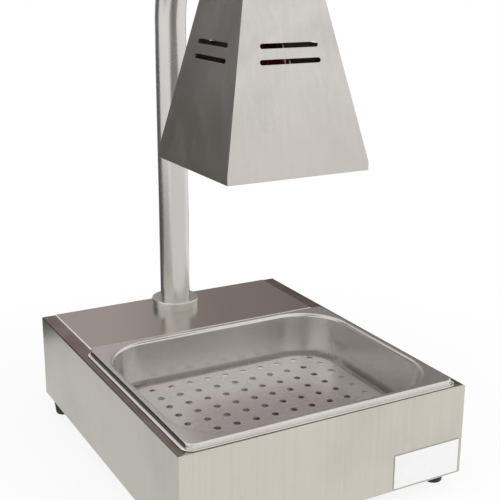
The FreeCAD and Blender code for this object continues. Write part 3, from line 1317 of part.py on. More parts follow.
def heat_shield():
    """The folded tray under the element, and the three brackets on it that hold the element."""
    piece = Piece("heat_shield")
    top = BASE_TOP + D.shield_height
    half = SHIELD_HALF
    near = FRONT + D.shield_front
    far = DECK_FRONT - D.shield_rear
    piece.pad("XY_Plane", top - D.sheet, top, rectangle(-half, half, near, far))
    for side in SIDES:
        piece.pad("XY_Plane", BASE_TOP, top, rectangle(side * half, side * (half - D.sheet), near, far))
    piece.round(D.bend_radius, lies_at(2, top), runs_along(1))
    brackets = []
    bore = D.element_radius + D.bolt_gap
    crown = ELEMENT_Z + D.element_radius + D.bracket_crown
    width = D.bracket_width / 2
    middle = (ELEMENT_FRONT + ELEMENT_REAR) / 2
    for side in SIDES:
        x = side * ELEMENT_HALF
        bracket = Piece("element_bracket", listed=False)
        bracket.pad("XZ_Plane", middle, middle + D.bracket_sheet,
                    rectangle(x - width, x + width, top, crown))
        bracket.pad("XY_Plane", top, top + D.bracket_sheet,
                    rectangle(x - width, x + width, middle, middle + D.bracket_foot))
        bracket.pocket("XZ_Plane", middle - D.overrun, middle + D.overrun, circle(x, ELEMENT_Z, bore))
        brackets.append(bracket)
    bracket = Piece("element_bracket", listed=False)
    bracket.pad("YZ_Plane", 0, D.bracket_sheet,
                rectangle(ELEMENT_FRONT - width, ELEMENT_FRONT + width, top, crown))
    bracket.pad("XY_Plane", top, top + D.bracket_sheet,
                rectangle(0, D.bracket_foot, ELEMENT_FRONT - width, ELEMENT_FRONT + width))
    bracket.pocket("YZ_Plane", -D.overrun, D.overrun, circle(ELEMENT_FRONT, ELEMENT_Z, bore))
    brackets.append(bracket)
    group("element_brackets", brackets)


def thermostat():
    """The disc thermostat on the divider: a round body, a mounting strip, two tabs and screws."""
    piece = Piece("thermostat")
    back = DECK_FRONT + D.thermostat_depth
    half = D.thermostat_strip / 2
    piece.pad("XZ_Plane", DECK_FRONT, back, circle(D.thermostat_x, THERMOSTAT_Z, D.thermostat_radius))
    piece.pad("XZ_Plane", DECK_FRONT, DECK_FRONT + D.sheet,
              rectangle(D.thermostat_x - D.thermostat_ear, D.thermostat_x + D.thermostat_ear,
                        THERMOSTAT_Z - half, THERMOSTAT_Z + half))
    tab = D.tab_width / 2
    for side in SIDES:
        x = D.thermostat_x + side * D.thermostat_radius / 2
        piece.pad("XZ_Plane", back, back + D.tab_length,
                  rectangle(x, x + D.tab_thickness, THERMOSTAT_Z - tab, THERMOSTAT_Z + tab))
    piece.pocket("XZ_Plane", DECK_FRONT - D.overrun, DECK_FRONT + D.overrun,
                 *holes(thermostat_screw_places(), D.holder_screw_radius + D.bolt_gap))
    screws = [
        screw("thermostat_screw", D.holder_screw_radius, D.thermostat_screw, D.holder_head_radius,
              D.screw_head_height).place(x, DECK_FRONT + D.sheet, z, ALONG_X, -QUARTER_TURN)
        for x, z in thermostat_screw_places()
    ]
    group("thermostat_screws", screws)


def terminal_block():
    """The ceramic terminal block on the base plate, with a pair of screws for each pole."""
    piece = Piece("terminal_block")
    half_x = D.terminal_width / 2
    half_y = D.terminal_depth / 2
    top = BASE_TOP + D.terminal_height
    piece.pad("XY_Plane", BASE_TOP, top,
              rectangle(-half_x, half_x, TERMINAL_Y - half_y, TERMINAL_Y + half_y))
    half_pole = (D.terminal_pitch - D.terminal_ridge) / 2
    poles = [(number - (TERMINAL_POLES - 1) / 2) * D.terminal_pitch for number in range(TERMINAL_POLES)]
    floor = top - D.terminal_groove
    near = TERMINAL_Y - half_y - D.overrun
    far = TERMINAL_Y + half_y + D.overrun
    piece.pocket("XY_Plane", floor, top + D.overrun,
                 *[rectangle(x - half_pole, x + half_pole, near, far) for x in poles])
    screws_at = [(x, TERMINAL_Y + side * half_y / 2) for x in poles for side in SIDES]
    piece.pocket("XY_Plane", floor - D.terminal_screw_length - D.seat_gap, top,
                 *holes(screws_at, D.holder_screw_radius + D.liner_gap))
    screws = [
        screw("terminal_screw", D.holder_screw_radius, D.terminal_screw_length, D.terminal_screw_radius,
              D.screw_head_height).place(x, y, floor) for x, y in screws_at
    ]
    group("terminal_screws", screws)


def power_inlet():
    """The appliance inlet: a flanged body with a socket, three pins and two screws."""
    piece = Piece("power_inlet")
    x = D.inlet_x
    face = REAR + D.inlet_flange
    back = PANEL_INNER - D.inlet_depth
    piece.pad("XZ_Plane", REAR, face,
              rounded(x - D.inlet_flange_width / 2, x + D.inlet_flange_width / 2,
                      FITTING_Z - D.inlet_flange_height / 2, FITTING_Z + D.inlet_flange_height / 2,
                      D.inlet_flange_corner))
    piece.pad("XZ_Plane", back, REAR, plate(x, D.inlet_width, D.inlet_body_height))
    sx = D.inlet_socket_width / 2
    sz = D.inlet_socket_height / 2
    c = D.inlet_socket_corner
    piece.pocket("XZ_Plane", face - D.inlet_socket_depth, face + D.overrun, outline([
        (x - sx, FITTING_Z - sz), (x + sx, FITTING_Z - sz), (x + sx, FITTING_Z + sz - c),
        (x + sx - c, FITTING_Z + sz), (x - sx + c, FITTING_Z + sz), (x - sx, FITTING_Z + sz - c),
    ]))
    screws_at = [(x + side * D.inlet_screw_spread / 2, FITTING_Z) for side in SIDES]
    piece.pocket("XZ_Plane", REAR - D.overrun, face + D.overrun,
                 *holes(screws_at, D.screw_radius + D.bolt_gap))
    pin_places = [(x - D.inlet_pin_spread / 2, FITTING_Z - D.inlet_pin_offset),
                  (x, FITTING_Z + D.inlet_pin_offset),
                  (x + D.inlet_pin_spread / 2, FITTING_Z - D.inlet_pin_offset)]
    slots = []
    pins = []
    for px, pz in pin_places:
        w = D.inlet_pin_width / 2
        t = D.inlet_pin_height / 2
        slots.append(rectangle(px - w, px + w, pz - t, pz + t))
        pin = Piece("inlet_pin", listed=False)
        pin.pad("XZ_Plane", INLET_END, face - D.inlet_pin_recess, rectangle(px - w, px + w, pz - t, pz + t))
        pins.append(pin)
    piece.pocket("XZ_Plane", back - D.overrun, face - D.inlet_socket_depth, *slots)
    group("inlet_pins", pins)
    group("inlet_screws", [
        screw("inlet_screw", D.screw_radius, D.screw_length, D.screw_head_radius, D.screw_head_height)
        .place(place_x, face, place_z, ALONG_X, -QUARTER_TURN) for place_x, place_z in screws_at
    ])


def switch(name, x):
    """A switch in the rear panel: a bezel and body with two tabs, and a rocker on a pin."""
    piece = Piece(f"{name}_switch")
    half_x = D.switch_width / 2
    half_z = D.switch_height / 2
    face = REAR + D.bezel_thickness
    back = PANEL_INNER - D.switch_depth
    bezel_x = half_x + D.bezel_edge
    bezel_z = half_z + D.bezel_edge
    piece.pad("XZ_Plane", REAR, face,
              rounded(x - bezel_x, x + bezel_x, FITTING_Z - bezel_z, FITTING_Z + bezel_z, D.bezel_corner))
    piece.pad("XZ_Plane", back, REAR, plate(x, D.switch_width, D.switch_height))
    well_x = D.rocker_width / 2 + D.rocker_gap
    well_z = D.rocker_radius + D.rocker_gap
    pivot_y = face - D.rocker_pivot
    piece.pocket("XZ_Plane", pivot_y - D.rocker_radius - D.rocker_gap, face + D.overrun,
                 rectangle(x - well_x, x + well_x, FITTING_Z - well_z, FITTING_Z + well_z))
    for side in SIDES:
        z = FITTING_Z + side * half_z / 2
        piece.pad("XZ_Plane", TAB_END, back,
                  rectangle(x - D.tab_width / 2, x + D.tab_width / 2, z, z + D.tab_thickness))
    piece.pocket("YZ_Plane", x - half_x, x + half_x,
                 circle(pivot_y, FITTING_Z, D.rocker_pin_radius + D.liner_gap))
    rocker = Piece(f"{name}_rocker")
    r = D.rocker_radius
    top = math.radians(ROCKER_TOP_ANGLE)
    base = math.radians(ROCKER_BASE_ANGLE)
    w = D.rocker_width / 2
    rocker.pad("YZ_Plane", -w, w, outline([
        (r * math.sin(top), r * math.cos(top), -r), (D.rocker_valley, 0),
        (r * math.sin(top), r * -math.cos(top)), (r * -math.sin(base), r * -math.cos(base), -r),
        (r * -math.sin(base), r * math.cos(base)),
    ]))
    pin = half_x - D.bezel_edge / 2
    rocker.pad("YZ_Plane", -pin, pin, circle(0, 0, D.rocker_pin_radius))
    rocker.place(x, pivot_y, FITTING_Z, ALONG_X, -ROCKER_THROW / 2)


def earth_stud():
    """The earth stud on the base plate, with its nut."""
    stud = Piece("earth_bolt", listed=False)
    stud.pad("XY_Plane", BASE_TOP, BASE_TOP + D.earth_height, circle(D.earth_x, EARTH_Y, D.bolt_radius))
    locknut = nut("earth_nut", D.earth_x, EARTH_Y, BASE_TOP + D.sheet, D.nut_height, D.nut_flats,
                  D.bolt_radius + D.liner_gap)
    group("earth_stud", [stud, locknut])


def wiring():
    """The insulated leads between the inlet, the switches, the terminals and the element."""
    pin = D.inlet_pin_spread / 2
    low_pin = FITTING_Z - D.inlet_pin_offset
    high_pin = FITTING_Z + D.inlet_pin_offset
    quarter = D.switch_height / 4
    high_tab = FITTING_Z + quarter + D.tab_thickness / 2
    low_tab = FITTING_Z - quarter + D.tab_thickness / 2
    block_z = BASE_TOP + D.terminal_height / 2
    block_x = D.terminal_width / 2
    run = D.wire_bend * 2
    high = TOP - D.wire_top
    live = D.inlet_x + pin
    leads("mains_leads", [
        [(live, INLET_END, low_pin), (live, INLET_END - run, low_pin), (live, INLET_END - run, high),
         (D.lamp_switch_x, TAB_END - run, high), (D.lamp_switch_x, TAB_END - run, high_tab),
         (D.lamp_switch_x, TAB_END, high_tab)],
        [(D.inlet_x - pin, INLET_END, low_pin), (D.inlet_x - pin, INLET_END - run, low_pin),
         (D.inlet_x - pin, TERMINAL_Y, block_z), (-block_x, TERMINAL_Y, block_z)],
    ])
    leads("earth_lead", [
        [(D.inlet_x, INLET_END, high_pin), (D.inlet_x, INLET_END - run, high_pin),
         (D.earth_x, EARTH_Y, high_pin), (D.earth_x, EARTH_Y, BASE_TOP + D.earth_height)],
    ])
    near_y = TERMINAL_Y - D.wire_radius * 3
    far_y = TERMINAL_Y + D.wire_radius * 3
    clip_y = DECK_FRONT + D.thermostat_depth + D.tab_length
    tab = D.thermostat_radius / 2
    leads("switch_leads", [
        [(D.lamp_switch_x, TAB_END, low_tab), (D.lamp_switch_x, TAB_END - run, low_tab),
         (D.lamp_switch_x, far_y, block_z), (block_x, far_y, block_z)],
        [(D.heater_switch_x, TAB_END, low_tab), (D.heater_switch_x, TAB_END - run, low_tab),
         (D.heater_switch_x, near_y, block_z), (block_x, near_y, block_z)],
        [(D.heater_switch_x, TAB_END, high_tab), (D.heater_switch_x, clip_y + run, high_tab),
         (D.thermostat_x + tab + D.tab_thickness / 2, clip_y + run, THERMOSTAT_Z),
         (D.thermostat_x + tab + D.tab_thickness / 2, clip_y, THERMOSTAT_Z)],
    ])
    pin_end = ELEMENT_END + D.element_pin_length
    tail = D.element_tails / 2
    front_face = TERMINAL_Y - D.terminal_depth / 2
    halfway = (pin_end + front_face) / 2
    clip_x = D.thermostat_x - tab + D.tab_thickness / 2
    leads("heater_leads", [
        [(clip_x, clip_y, THERMOSTAT_Z), (clip_x, clip_y + run, THERMOSTAT_Z),
         (tail, pin_end + run, ELEMENT_Z + run), (tail, pin_end + run, ELEMENT_Z),
         (tail, pin_end, ELEMENT_Z)],
        [(-tail, pin_end, ELEMENT_Z), (-tail, halfway, ELEMENT_Z),
         (-D.terminal_pitch, halfway, block_z), (-D.terminal_pitch, front_face, block_z)],
    ])


def check_model():
    """Stops where any object failed or any piece has no sound solid."""
    for item in DOC.Objects:
        if "Invalid" in item.State or "Error" in item.State:
            raise ValueError(f"{item.Name} failed: {item.State}")
    for item in SUB_PARTS:
        if item.Shape.isNull() or not item.Shape.isValid() or not item.Shape.Solids:
            raise ValueError(f"{item.Label} has no sound solid")


def main():
    front_panel()
    side_panel("side_panel_left", -1)
    side_panel("side_panel_right", 1)
    deck()
    divider()
    base_plate()
    rear_panel()
    badge_plate()
    feet()
    case_screws()
    pan()
    drain_plate()
    post()
    post_plate()
    shade()
    hanger()
    lamp_holder()
    lamp()
    lamp_cable()
    heating_element()
    heat_shield()
    thermostat()
    terminal_block()
    power_inlet()
    switch("lamp", D.lamp_switch_x)
    switch("heater", D.heater_switch_x)
    earth_stud()
    wiring()
    DOC.recompute()
    check_model()
    os.makedirs("parts", exist_ok=True)
    for item in SUB_PARTS:
        item.Shape.exportStep(os.path.join("parts", f"{item.Label}.step"))


main()
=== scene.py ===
"""The looks of a chip warmer: a steel box with a drop-in pan, and a lamp shade on a bent post.

Lengths are in metres. X runs to the right, Y to the back and Z up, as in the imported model.
"""
import json
import math

import bmesh
import bpy
import numpy as np
from mathutils import Matrix, Vector

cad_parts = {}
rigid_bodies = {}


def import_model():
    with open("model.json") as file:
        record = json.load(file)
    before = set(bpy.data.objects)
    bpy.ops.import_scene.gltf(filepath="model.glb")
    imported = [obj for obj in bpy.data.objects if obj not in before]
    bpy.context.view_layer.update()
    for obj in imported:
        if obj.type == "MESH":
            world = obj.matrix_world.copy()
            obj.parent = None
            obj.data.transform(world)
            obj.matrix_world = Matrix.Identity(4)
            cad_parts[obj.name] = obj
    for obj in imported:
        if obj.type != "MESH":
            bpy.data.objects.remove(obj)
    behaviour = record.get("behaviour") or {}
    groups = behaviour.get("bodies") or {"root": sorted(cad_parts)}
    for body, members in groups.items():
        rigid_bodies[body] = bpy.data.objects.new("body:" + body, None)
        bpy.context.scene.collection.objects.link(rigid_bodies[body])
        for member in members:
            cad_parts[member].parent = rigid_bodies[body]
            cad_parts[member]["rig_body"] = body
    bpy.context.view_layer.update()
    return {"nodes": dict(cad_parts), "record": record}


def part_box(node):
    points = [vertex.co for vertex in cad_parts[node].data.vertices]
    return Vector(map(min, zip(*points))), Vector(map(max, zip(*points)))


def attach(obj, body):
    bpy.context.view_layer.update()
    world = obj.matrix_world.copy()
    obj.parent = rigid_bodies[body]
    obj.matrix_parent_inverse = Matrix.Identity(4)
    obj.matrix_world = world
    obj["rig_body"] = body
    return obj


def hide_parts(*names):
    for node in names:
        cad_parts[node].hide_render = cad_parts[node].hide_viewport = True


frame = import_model()
MM = 0.001
NODES = frame["nodes"]
SLOTS = {part["node"]: part["material_slot"] for part in frame["record"]["subparts"]}

# camera, fitted to the corners of the box, the post and the shade
CAMERA_PLACE = Vector((-0.5053, -0.9586, 0.5676))
CAMERA_YAW = math.radians(28.72)
CAMERA_PITCH = math.radians(16.62)
CAMERA_ROLL = math.radians(-0.25)
CAMERA_LENS = 71.0
CAMERA_SENSOR = 36.0
CAMERA_REACH = 100.0

# how finely round shapes are divided
TURN_STEPS = 96
CORNER_STEPS = 33
BEND_STEPS = 49
SMALL_STEPS = 9
FILLET_STEPS = 5
SPAN_STEPS = 6

# how close points are merged, and from what turn an edge stays sharp
POLE_GAP = 1e-7
SHARP_TURN = math.radians(40)

# the folded sheets: which have their edges rounded, by how much, and which edges those are
SHEETS = ("front_panel", "side_panel_left", "side_panel_right", "rear_panel", "deck", "shade")
SHEET_EDGE = 0.35 * MM
SHEET_EDGE_STEPS = 2
SHEET_LONG = 8 * MM
SHEET_FLAT_TURN = math.radians(0.3)
SHEET_FOLD_TURN = math.radians(30)
SHEET_MERGE = 1e-6
SHEET_SLIVER = 2e-6

# the pan's section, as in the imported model
PAN_SHEET = 0.9 * MM
PAN_LIP = 3.5 * MM
PAN_LIP_HEIGHT = 1.4 * MM
PAN_STEP_FILLET = 0.6 * MM
PAN_RIM = 4.75 * MM
PAN_OUTER_CORNER = 12.5 * MM
PAN_MOUTH_CORNER = 62.0 * MM
PAN_EDGE = 4.0 * MM
PAN_SHOULDER = 2.0 * MM
PAN_RISE = 6.2 * MM
PAN_DEPTH = 65.0 * MM
PAN_DRAFT = 4.4 * MM
PAN_LEAN = math.atan(PAN_DRAFT / PAN_DEPTH)
PAN_FLOOR_RADIUS = 12.0 * MM

# the post, its collars, the feet, and the deck's edge under the side flanges
TUBE_WALL = 1.5 * MM
CROOK_RADIUS = 135.0 * MM
CROOK_END_RADIUS = 60.0 * MM
COLLAR_DROP = 0.5 * MM
COLLAR_EDGE = 1.5 * MM
COLLAR_BORE = 19.2 * MM
DECK_TUCK = 8.0 * MM
FEET = ("foot_front_left", "foot_front_right", "foot_rear_left", "foot_rear_right")
FOOT_BASE_RADIUS = 10.2 * MM
FOOT_WALL_RADIUS = 12.0 * MM
FOOT_TOP_RADIUS = 11.9 * MM
FOOT_CHAMFER = 1.0 * MM
FOOT_EDGE = 2.5 * MM
FOOT_RECESS = 6.0 * MM
FOOT_BORE = 2.75 * MM
FOOT_WEB = 6.0 * MM

# the lamp's outline, as shares of its radius and its height from the front, and its wall
GLASS_SHARES = (
    (0.0, 0.0), (0.45, 0.006), (0.8, 0.035), (0.96, 0.085), (1.0, 0.145), (0.975, 0.215),
    (0.87, 0.335), (0.68, 0.475), (0.48, 0.61), (0.35, 0.71), (0.303, 0.76), (0.296, 0.795),
)
GLASS_WALL = 1.0 * MM
LAMP_LENGTH = 172.7 * MM

# colours of the steels, of their tints, of the shade and reflections painted on them, and of the
# rockers
CASE_COLOUR = (0.60, 0.575, 0.505)
SHADE_COLOUR = (0.655, 0.635, 0.60)
PAN_COLOUR = (0.66, 0.635, 0.61)
PAN_METAL = 0.85
TUBE_COLOUR = (0.66, 0.65, 0.63)
# painted shade towards the shade's hem, with a straw tint
HEM_SHADE_AND_STRAW = (0.53, 0.495, 0.445, 1.0)
# painted dark reflection on the side flanges
FLANGE_REFLECTION = (0.25, 0.195, 0.16, 1.0)
# painted dark shade in the step of the pan's rim
STEP_SHADE_COLOUR = (0.06, 0.042, 0.034, 1.0)
ROCKER_COLOUR = (0.45, 0.018, 0.014)

# axes that the lines of a satin finish run along
SIDEWAYS = (0,)
UPRIGHT = (2,)
ROUND = (0, 1)

# grains to the metre of those lines and of the bands among them: along the lines, then across
LINE_GRAINS = (8.0, 1300.0)
BAND_GRAINS = (2.5, 170.0)

# spans over which a tint, a mark, a painted shade or a painted highlight fades in, from the edge
# that it follows
FLANGE_FADE = (-1.2 * MM, -0.6 * MM)
DECK_HIGHLIGHT = (-1.1 * MM, -0.6 * MM)
STEP_SHADE_INNER = (-1.2 * MM, -0.8 * MM)
STEP_SHADE_OUTER = (0.1 * MM, 0.4 * MM)
STEP_SHADE_LOWER = (0.0, 0.2 * MM)
STEP_SHADE_UPPER = (-0.8 * MM, -0.4 * MM)
LIP_HIGHLIGHT = (0.5 * MM, 0.9 * MM)
PLATE_LINE = (-1.1 * MM, -0.9 * MM)
FOOT_DUST = (1.0 * MM, 10.0 * MM)

# the rockers' marks: half sizes of the bar, the ring's radius and half width, and their blur
BAR_HALF_WIDTH = 0.3 * MM
BAR_HALF_HEIGHT = 1.7 * MM
RING_RADIUS = 1.6 * MM
RING_HALF_WIDTH = 0.25 * MM
MARK_BLUR = 0.1 * MM

# the studio
STAGE_MIDDLE = (0.0, 0.0, 0.3)
WORLD_LIGHT = 0.5
FLOOR_REACH = 40.0
FLOOR_WHITE = 0.86
FLOOR_FADE = (0.22, 0.75)
BACKGROUND_RAYS = ("Is Camera Ray", "Is Glossy Ray", "Is Transmission Ray")

# places of the colour sockets on Blender's Mix node
MIX_SHARE, MIX_FIRST, MIX_SECOND = 0, 6, 7
MIX_COLOUR = 2


class Wire:
    """A number or a colour on its way through a node tree: sums on it add Math nodes."""

    def __init__(self, graph, socket):
        self.graph = graph
        self.socket = socket

    def maths(self, operation, *values):
        """A Math node over these values."""
        settings = {"operation": operation}
        return self.graph.node("ShaderNodeMath", settings, dict(enumerate(values)))

    def __add__(self, other):
        return self.maths("ADD", self, other)

    def __sub__(self, other):
        return self.maths("SUBTRACT", self, other)

    def __rsub__(self, other):
        return self.maths("SUBTRACT", other, self)

    def __mul__(self, other):
        return self.maths("MULTIPLY", self, other)

    def __pow__(self, other):
        return self.maths("POWER", self, other)

    def __abs__(self):
        return self.maths("ABSOLUTE", self)

    __radd__ = __add__
    __rmul__ = __mul__

    def most(self, other):
        """The larger of two numbers."""
        return self.maths("MAXIMUM", self, other)

    def rise(self, low, high):
        """0 below low, 1 above high, and a smooth slope between."""
        return self.graph.node(
            "ShaderNodeMapRange", {"interpolation_type": "SMOOTHSTEP"},
            {"Value": self, "From Min": low, "From Max": high})

    def past(self, place, span):
        """0 before a place and 1 after it, with the slope over a span measured from the place."""
        return self.rise(place + span[0], place + span[1])

    def near(self, half, blur):
        """1 while the number is less than half from 0, falling to 0 over the blur."""
        return 1 - abs(self).rise(half, half + blur)


class Graph:
    """A node tree that is filled by one method."""

    def __init__(self, tree, output):
        self.tree = tree
        self.output = tree.nodes[output]

    def node(self, kind, settings=None, inputs=None, output=0):
        """One node: its settings are set first, then the values or links of its sockets.

        A setting named stops fills a ramp with pairs of a place and a colour.
        """
        item = self.tree.nodes.new(kind)
        for name, value in (settings or {}).items():
            if name == "stops":
                ramp = item.color_ramp
                while len(ramp.elements) < len(value):
                    ramp.elements.new(1.0)
                for element, (place, colour) in zip(ramp.elements, value):
                    element.position = place
                    element.color = colour
            else:
                setattr(item, name, value)
        for name, value in (inputs or {}).items():
            socket = item.inputs[name]
            if isinstance(value, Wire):
                self.tree.links.new(value.socket, socket)
            else:
                socket.default_value = value
        return Wire(self, item.outputs[output])

    def surface(self, wire):
        """Makes a shader the one that shows."""
        self.tree.links.new(wire.socket, self.output.inputs["Surface"])

    def background_rays(self):
        """1 for rays that see the background: from the camera, off gloss or through glass."""
        camera, glossy, through = (
            self.node("ShaderNodeLightPath", output=name) for name in BACKGROUND_RAYS)
        return camera.most(glossy).most(through)


class Finish(Graph):
    """A material being made: its shader, and the attribute that its patterns follow, if any."""

    def __init__(self, name, follow=None, **constants):
        self.material = bpy.data.materials.new(name)
        self.material.use_nodes = True
        super().__init__(self.material.node_tree, "Material Output")
        self.follow = follow
        self.shader = self.tree.nodes["Principled BSDF"]
        self.shades = None
        for socket, value in constants.items():
            self.shader.inputs[socket.replace("_", " ")].default_value = value
        self.material.diffuse_color = self.shader.inputs["Base Color"].default_value

    def feed(self, socket, wire):
        """Links a wire to a socket of the shader, and remembers the colour that it got last."""
        self.tree.links.new(wire.socket, self.shader.inputs[socket])
        if socket == "Base Color":
            self.shades = wire

    def places(self):
        """The piece's own coordinates, or those of the attribute that its patterns follow."""
        if self.follow:
            return self.node("ShaderNodeAttribute", {"attribute_name": self.follow},
                             output="Vector")
        return self.node("ShaderNodeTexCoord", output="Object")

    def axis(self, number):
        """One of the coordinates, 0 for X, 1 for Y, 2 for Z."""
        return self.node("ShaderNodeSeparateXYZ", inputs={"Vector": self.places()}, output=number)

    def scaled(self, scale):
        """The coordinates times a scale along each axis."""
        return self.node("ShaderNodeMapping", {"vector_type": "POINT"}, {
            "Vector": self.places(), "Scale": scale})

    def noise(self, grains, detail=2.0, rough=0.5, bend=0.0):
        """Fractal noise from 0 to 1, with so many grains to the metre, or to each axis its own."""
        if isinstance(grains, float):
            grains = (grains,) * 3
        return self.node("ShaderNodeTexNoise", {"noise_dimensions": "3D"}, {
            "Vector": self.scaled(grains), "Scale": 1.0, "Detail": detail,
            "Roughness": rough, "Distortion": bend}, output="Fac")

    def mix(self, share, first, second):
        """A colour between two colours."""
        return self.node("ShaderNodeMix", {"data_type": "RGBA"}, {
            MIX_SHARE: share, MIX_FIRST: first, MIX_SECOND: second}, output=MIX_COLOUR)

    def bump(self, height, strength, distance):
        """Raises the surface by a wire's height times a distance, as far as the strength says."""
        self.feed("Normal", self.node("ShaderNodeBump", inputs={
            "Height": height, "Strength": strength, "Distance": distance}))


def grey(level, warmth=0.0):
    """A grey, warmer where warmth is positive."""
    return (level * (1 + warmth), level, level * (1 - warmth), 1.0)


def tinted(colour, factor):
    """A colour made lighter or darker by a factor."""
    return tuple(min(c * factor, 1.0) for c in colour) + (1.0,)


def steel(name, colour, rough, grain, follow=None, contrast=1.0, wear=1.0, groove=0.01 * MM,
          metal=1.0):
    """Satin steel: fine lines along the axes of the grain, soft smudges and a few rubbed spots.

    The colour swings by a few percent with the lines and falls where the sheet is smudged, and
    smudges are a little rougher than clean metal. The lines are grooves of a given depth.
    """
    finish = Finish(name, follow, Base_Color=(*colour, 1.0), Metallic=metal, Roughness=rough)
    fine, broad = (
        [along if axis in grain else across for axis in range(3)]
        for along, across in (LINE_GRAINS, BAND_GRAINS))
    lines = finish.noise(fine, detail=3.0, rough=0.6)
    bands = finish.noise(broad)
    cloud = finish.noise(7.0, detail=3.0, rough=0.55, bend=0.6).rise(0.40, 0.72)
    spots = finish.noise((24.0, 24.0, 15.0), detail=3.0, rough=0.65, bend=1.4).rise(0.58, 0.76)
    worn = (cloud * 0.6 + spots * 0.4) * wear
    swing = (lines - 0.5) * (0.7 * contrast) + (bands - 0.5) * (0.5 * contrast)
    tone = 0.5 + swing - worn * 0.35
    finish.feed("Base Color", finish.mix(tone, tinted(colour, 0.86), tinted(colour, 1.12)))
    finish.feed("Roughness", rough - 0.04 + lines * 0.05 + bands * 0.03 + worn * 0.08)
    finish.bump(lines * 0.7 + bands * 0.3, strength=0.5, distance=groove)
    return finish


def case_side_steel():
    """The side panels: upright lines, and flanges painted a dull brown, which is painted dark
    reflection.
    """
    finish = steel("case_side", CASE_COLOUR, 0.30, UPRIGHT, contrast=0.7)
    flange = finish.axis(2).past(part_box("side_panel_left")[1].z, FLANGE_FADE)
    blotch = finish.noise((30.0, 16.0, 30.0), detail=3.0, rough=0.6, bend=0.8).rise(0.25, 0.7)
    # the flanges' dull brown is painted dark reflection, blotchy
    brown = flange * (0.75 + blotch * 0.25)
    finish.feed("Base Color", finish.mix(brown, finish.shades, FLANGE_REFLECTION))
    return finish.material


def deck_steel():
    """The deck: lines from side to side, and a painted highlight along its edges."""
    finish = steel("case_level", CASE_COLOUR, 0.22, SIDEWAYS, contrast=0.22, wear=0.5,
                   groove=0.004 * MM)
    # a thin painted highlight along the deck's left and right edges, pale and not metallic
    edge = abs(finish.axis(0)).past(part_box("deck")[1].x - DECK_TUCK, DECK_HIGHLIGHT)
    finish.feed("Base Color", finish.mix(edge, finish.shades, grey(0.92)))
    finish.feed("Metallic", 1 - edge)
    return finish.material


def pan_sheet_steel():
    """The pan: upright lines, painted dark shade in the step along both sides, and a painted
    highlight on the lip.
    """
    finish = steel("pan_steel", PAN_COLOUR, 0.24, UPRIGHT, contrast=0.4, wear=0.6,
                   metal=PAN_METAL)
    low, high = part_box("pan")
    step = (high.x - low.x) / 2 - PAN_LIP
    ledge = high.z - PAN_RISE + PAN_LIP_HEIGHT
    out = abs(finish.axis(0) - (low.x + high.x) / 2)
    up = finish.axis(2)
    # painted dark shade in the step between the rim and the lip
    across = out.past(step, STEP_SHADE_INNER) * (1 - out.past(step, STEP_SHADE_OUTER))
    step_shade = across * up.past(ledge, STEP_SHADE_LOWER) * (1 - up.past(high.z, STEP_SHADE_UPPER))
    # a painted highlight on the lip: pale grey and less metallic
    lip = out.past(step, LIP_HIGHLIGHT)
    clean = finish.mix(lip, finish.shades, grey(0.78))
    finish.feed("Base Color", finish.mix(step_shade * 0.95, clean, STEP_SHADE_COLOUR))
    finish.feed("Metallic", PAN_METAL - lip * 0.55)
    return finish.material


def shade_sheet_steel():
    """The shade: upright lines, finger marks, and painted shade with a straw tint that deepens
    towards the hem.
    """
    finish = steel("shade_steel", SHADE_COLOUR, 0.30, UPRIGHT, contrast=1.1, wear=2.2)
    low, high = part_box("shade")
    # darker and warmer towards the hem: painted shade with a straw tint, ragged
    warm = 1 - finish.axis(2).rise(low.z, low.z + 0.75 * (high.z - low.z))
    rag = finish.noise((12.0, 12.0, 5.0), detail=3.0, rough=0.6, bend=0.8)
    finish.feed("Base Color", finish.mix(warm * (0.35 + rag * 0.45), finish.shades, HEM_SHADE_AND_STRAW))
    return finish.material


def zinc_steel(name, level):
    """Zinc-plated steel: dull, with a soft spangle."""
    finish = Finish(name, Base_Color=grey(level), Metallic=1.0, Roughness=0.4)
    spangle = finish.node("ShaderNodeTexVoronoi", {"feature": "F1"}, {
        "Vector": finish.scaled((160.0, 160.0, 160.0)), "Scale": 1.0}, output="Distance")
    stain = finish.noise(14.0, detail=4.0, rough=0.6).rise(0.4, 0.7)
    tone = spangle * 0.5 + stain * 0.3
    light, dark = grey(level * 1.12, -0.02), grey(level * 0.82, 0.03)
    finish.feed("Base Color", finish.mix(tone, light, dark))
    finish.feed("Roughness", 0.34 + spangle * 0.12 + stain * 0.08)
    return finish.material


def heated_steel():
    """The heating element's sheath: dark oxide with straw and blue tints."""
    finish = Finish("element_metal", Base_Color=grey(0.14, 0.06), Metallic=0.9, Roughness=0.5)
    tint = finish.noise(18.0, detail=3.0, bend=0.5)
    scale = finish.noise(420.0, detail=4.0, rough=0.7)
    straw, blue = (0.16, 0.115, 0.085, 1.0), (0.085, 0.088, 0.10, 1.0)
    warm = finish.mix(tint.rise(0.4, 0.65), straw, blue)
    finish.feed("Base Color", finish.mix(scale.rise(0.5, 0.8), warm, grey(0.26, 0.08)))
    finish.feed("Roughness", 0.42 + scale * 0.25)
    finish.bump(scale, strength=0.35, distance=0.15 * MM)
    return finish.material


def rubber():
    """Moulded black rubber, dusty on its lower edge."""
    finish = Finish("foot_rubber", Base_Color=grey(0.022), Roughness=0.6, Specular_IOR_Level=0.4)
    grain = finish.noise(900.0, detail=3.0, rough=0.6)
    dust = finish.noise((55.0, 55.0, 30.0), detail=4.0, rough=0.65).rise(0.45, 0.75)
    low = 1 - finish.axis(2).rise(*FOOT_DUST)
    amount = dust * 0.3 + low * 0.2
    finish.feed("Base Color", finish.mix(amount, grey(0.014), grey(0.07, 0.05)))
    finish.feed("Roughness", 0.52 + grain * 0.12 + amount * 0.15)
    finish.bump(grain, strength=0.3, distance=0.1 * MM)
    return finish.material


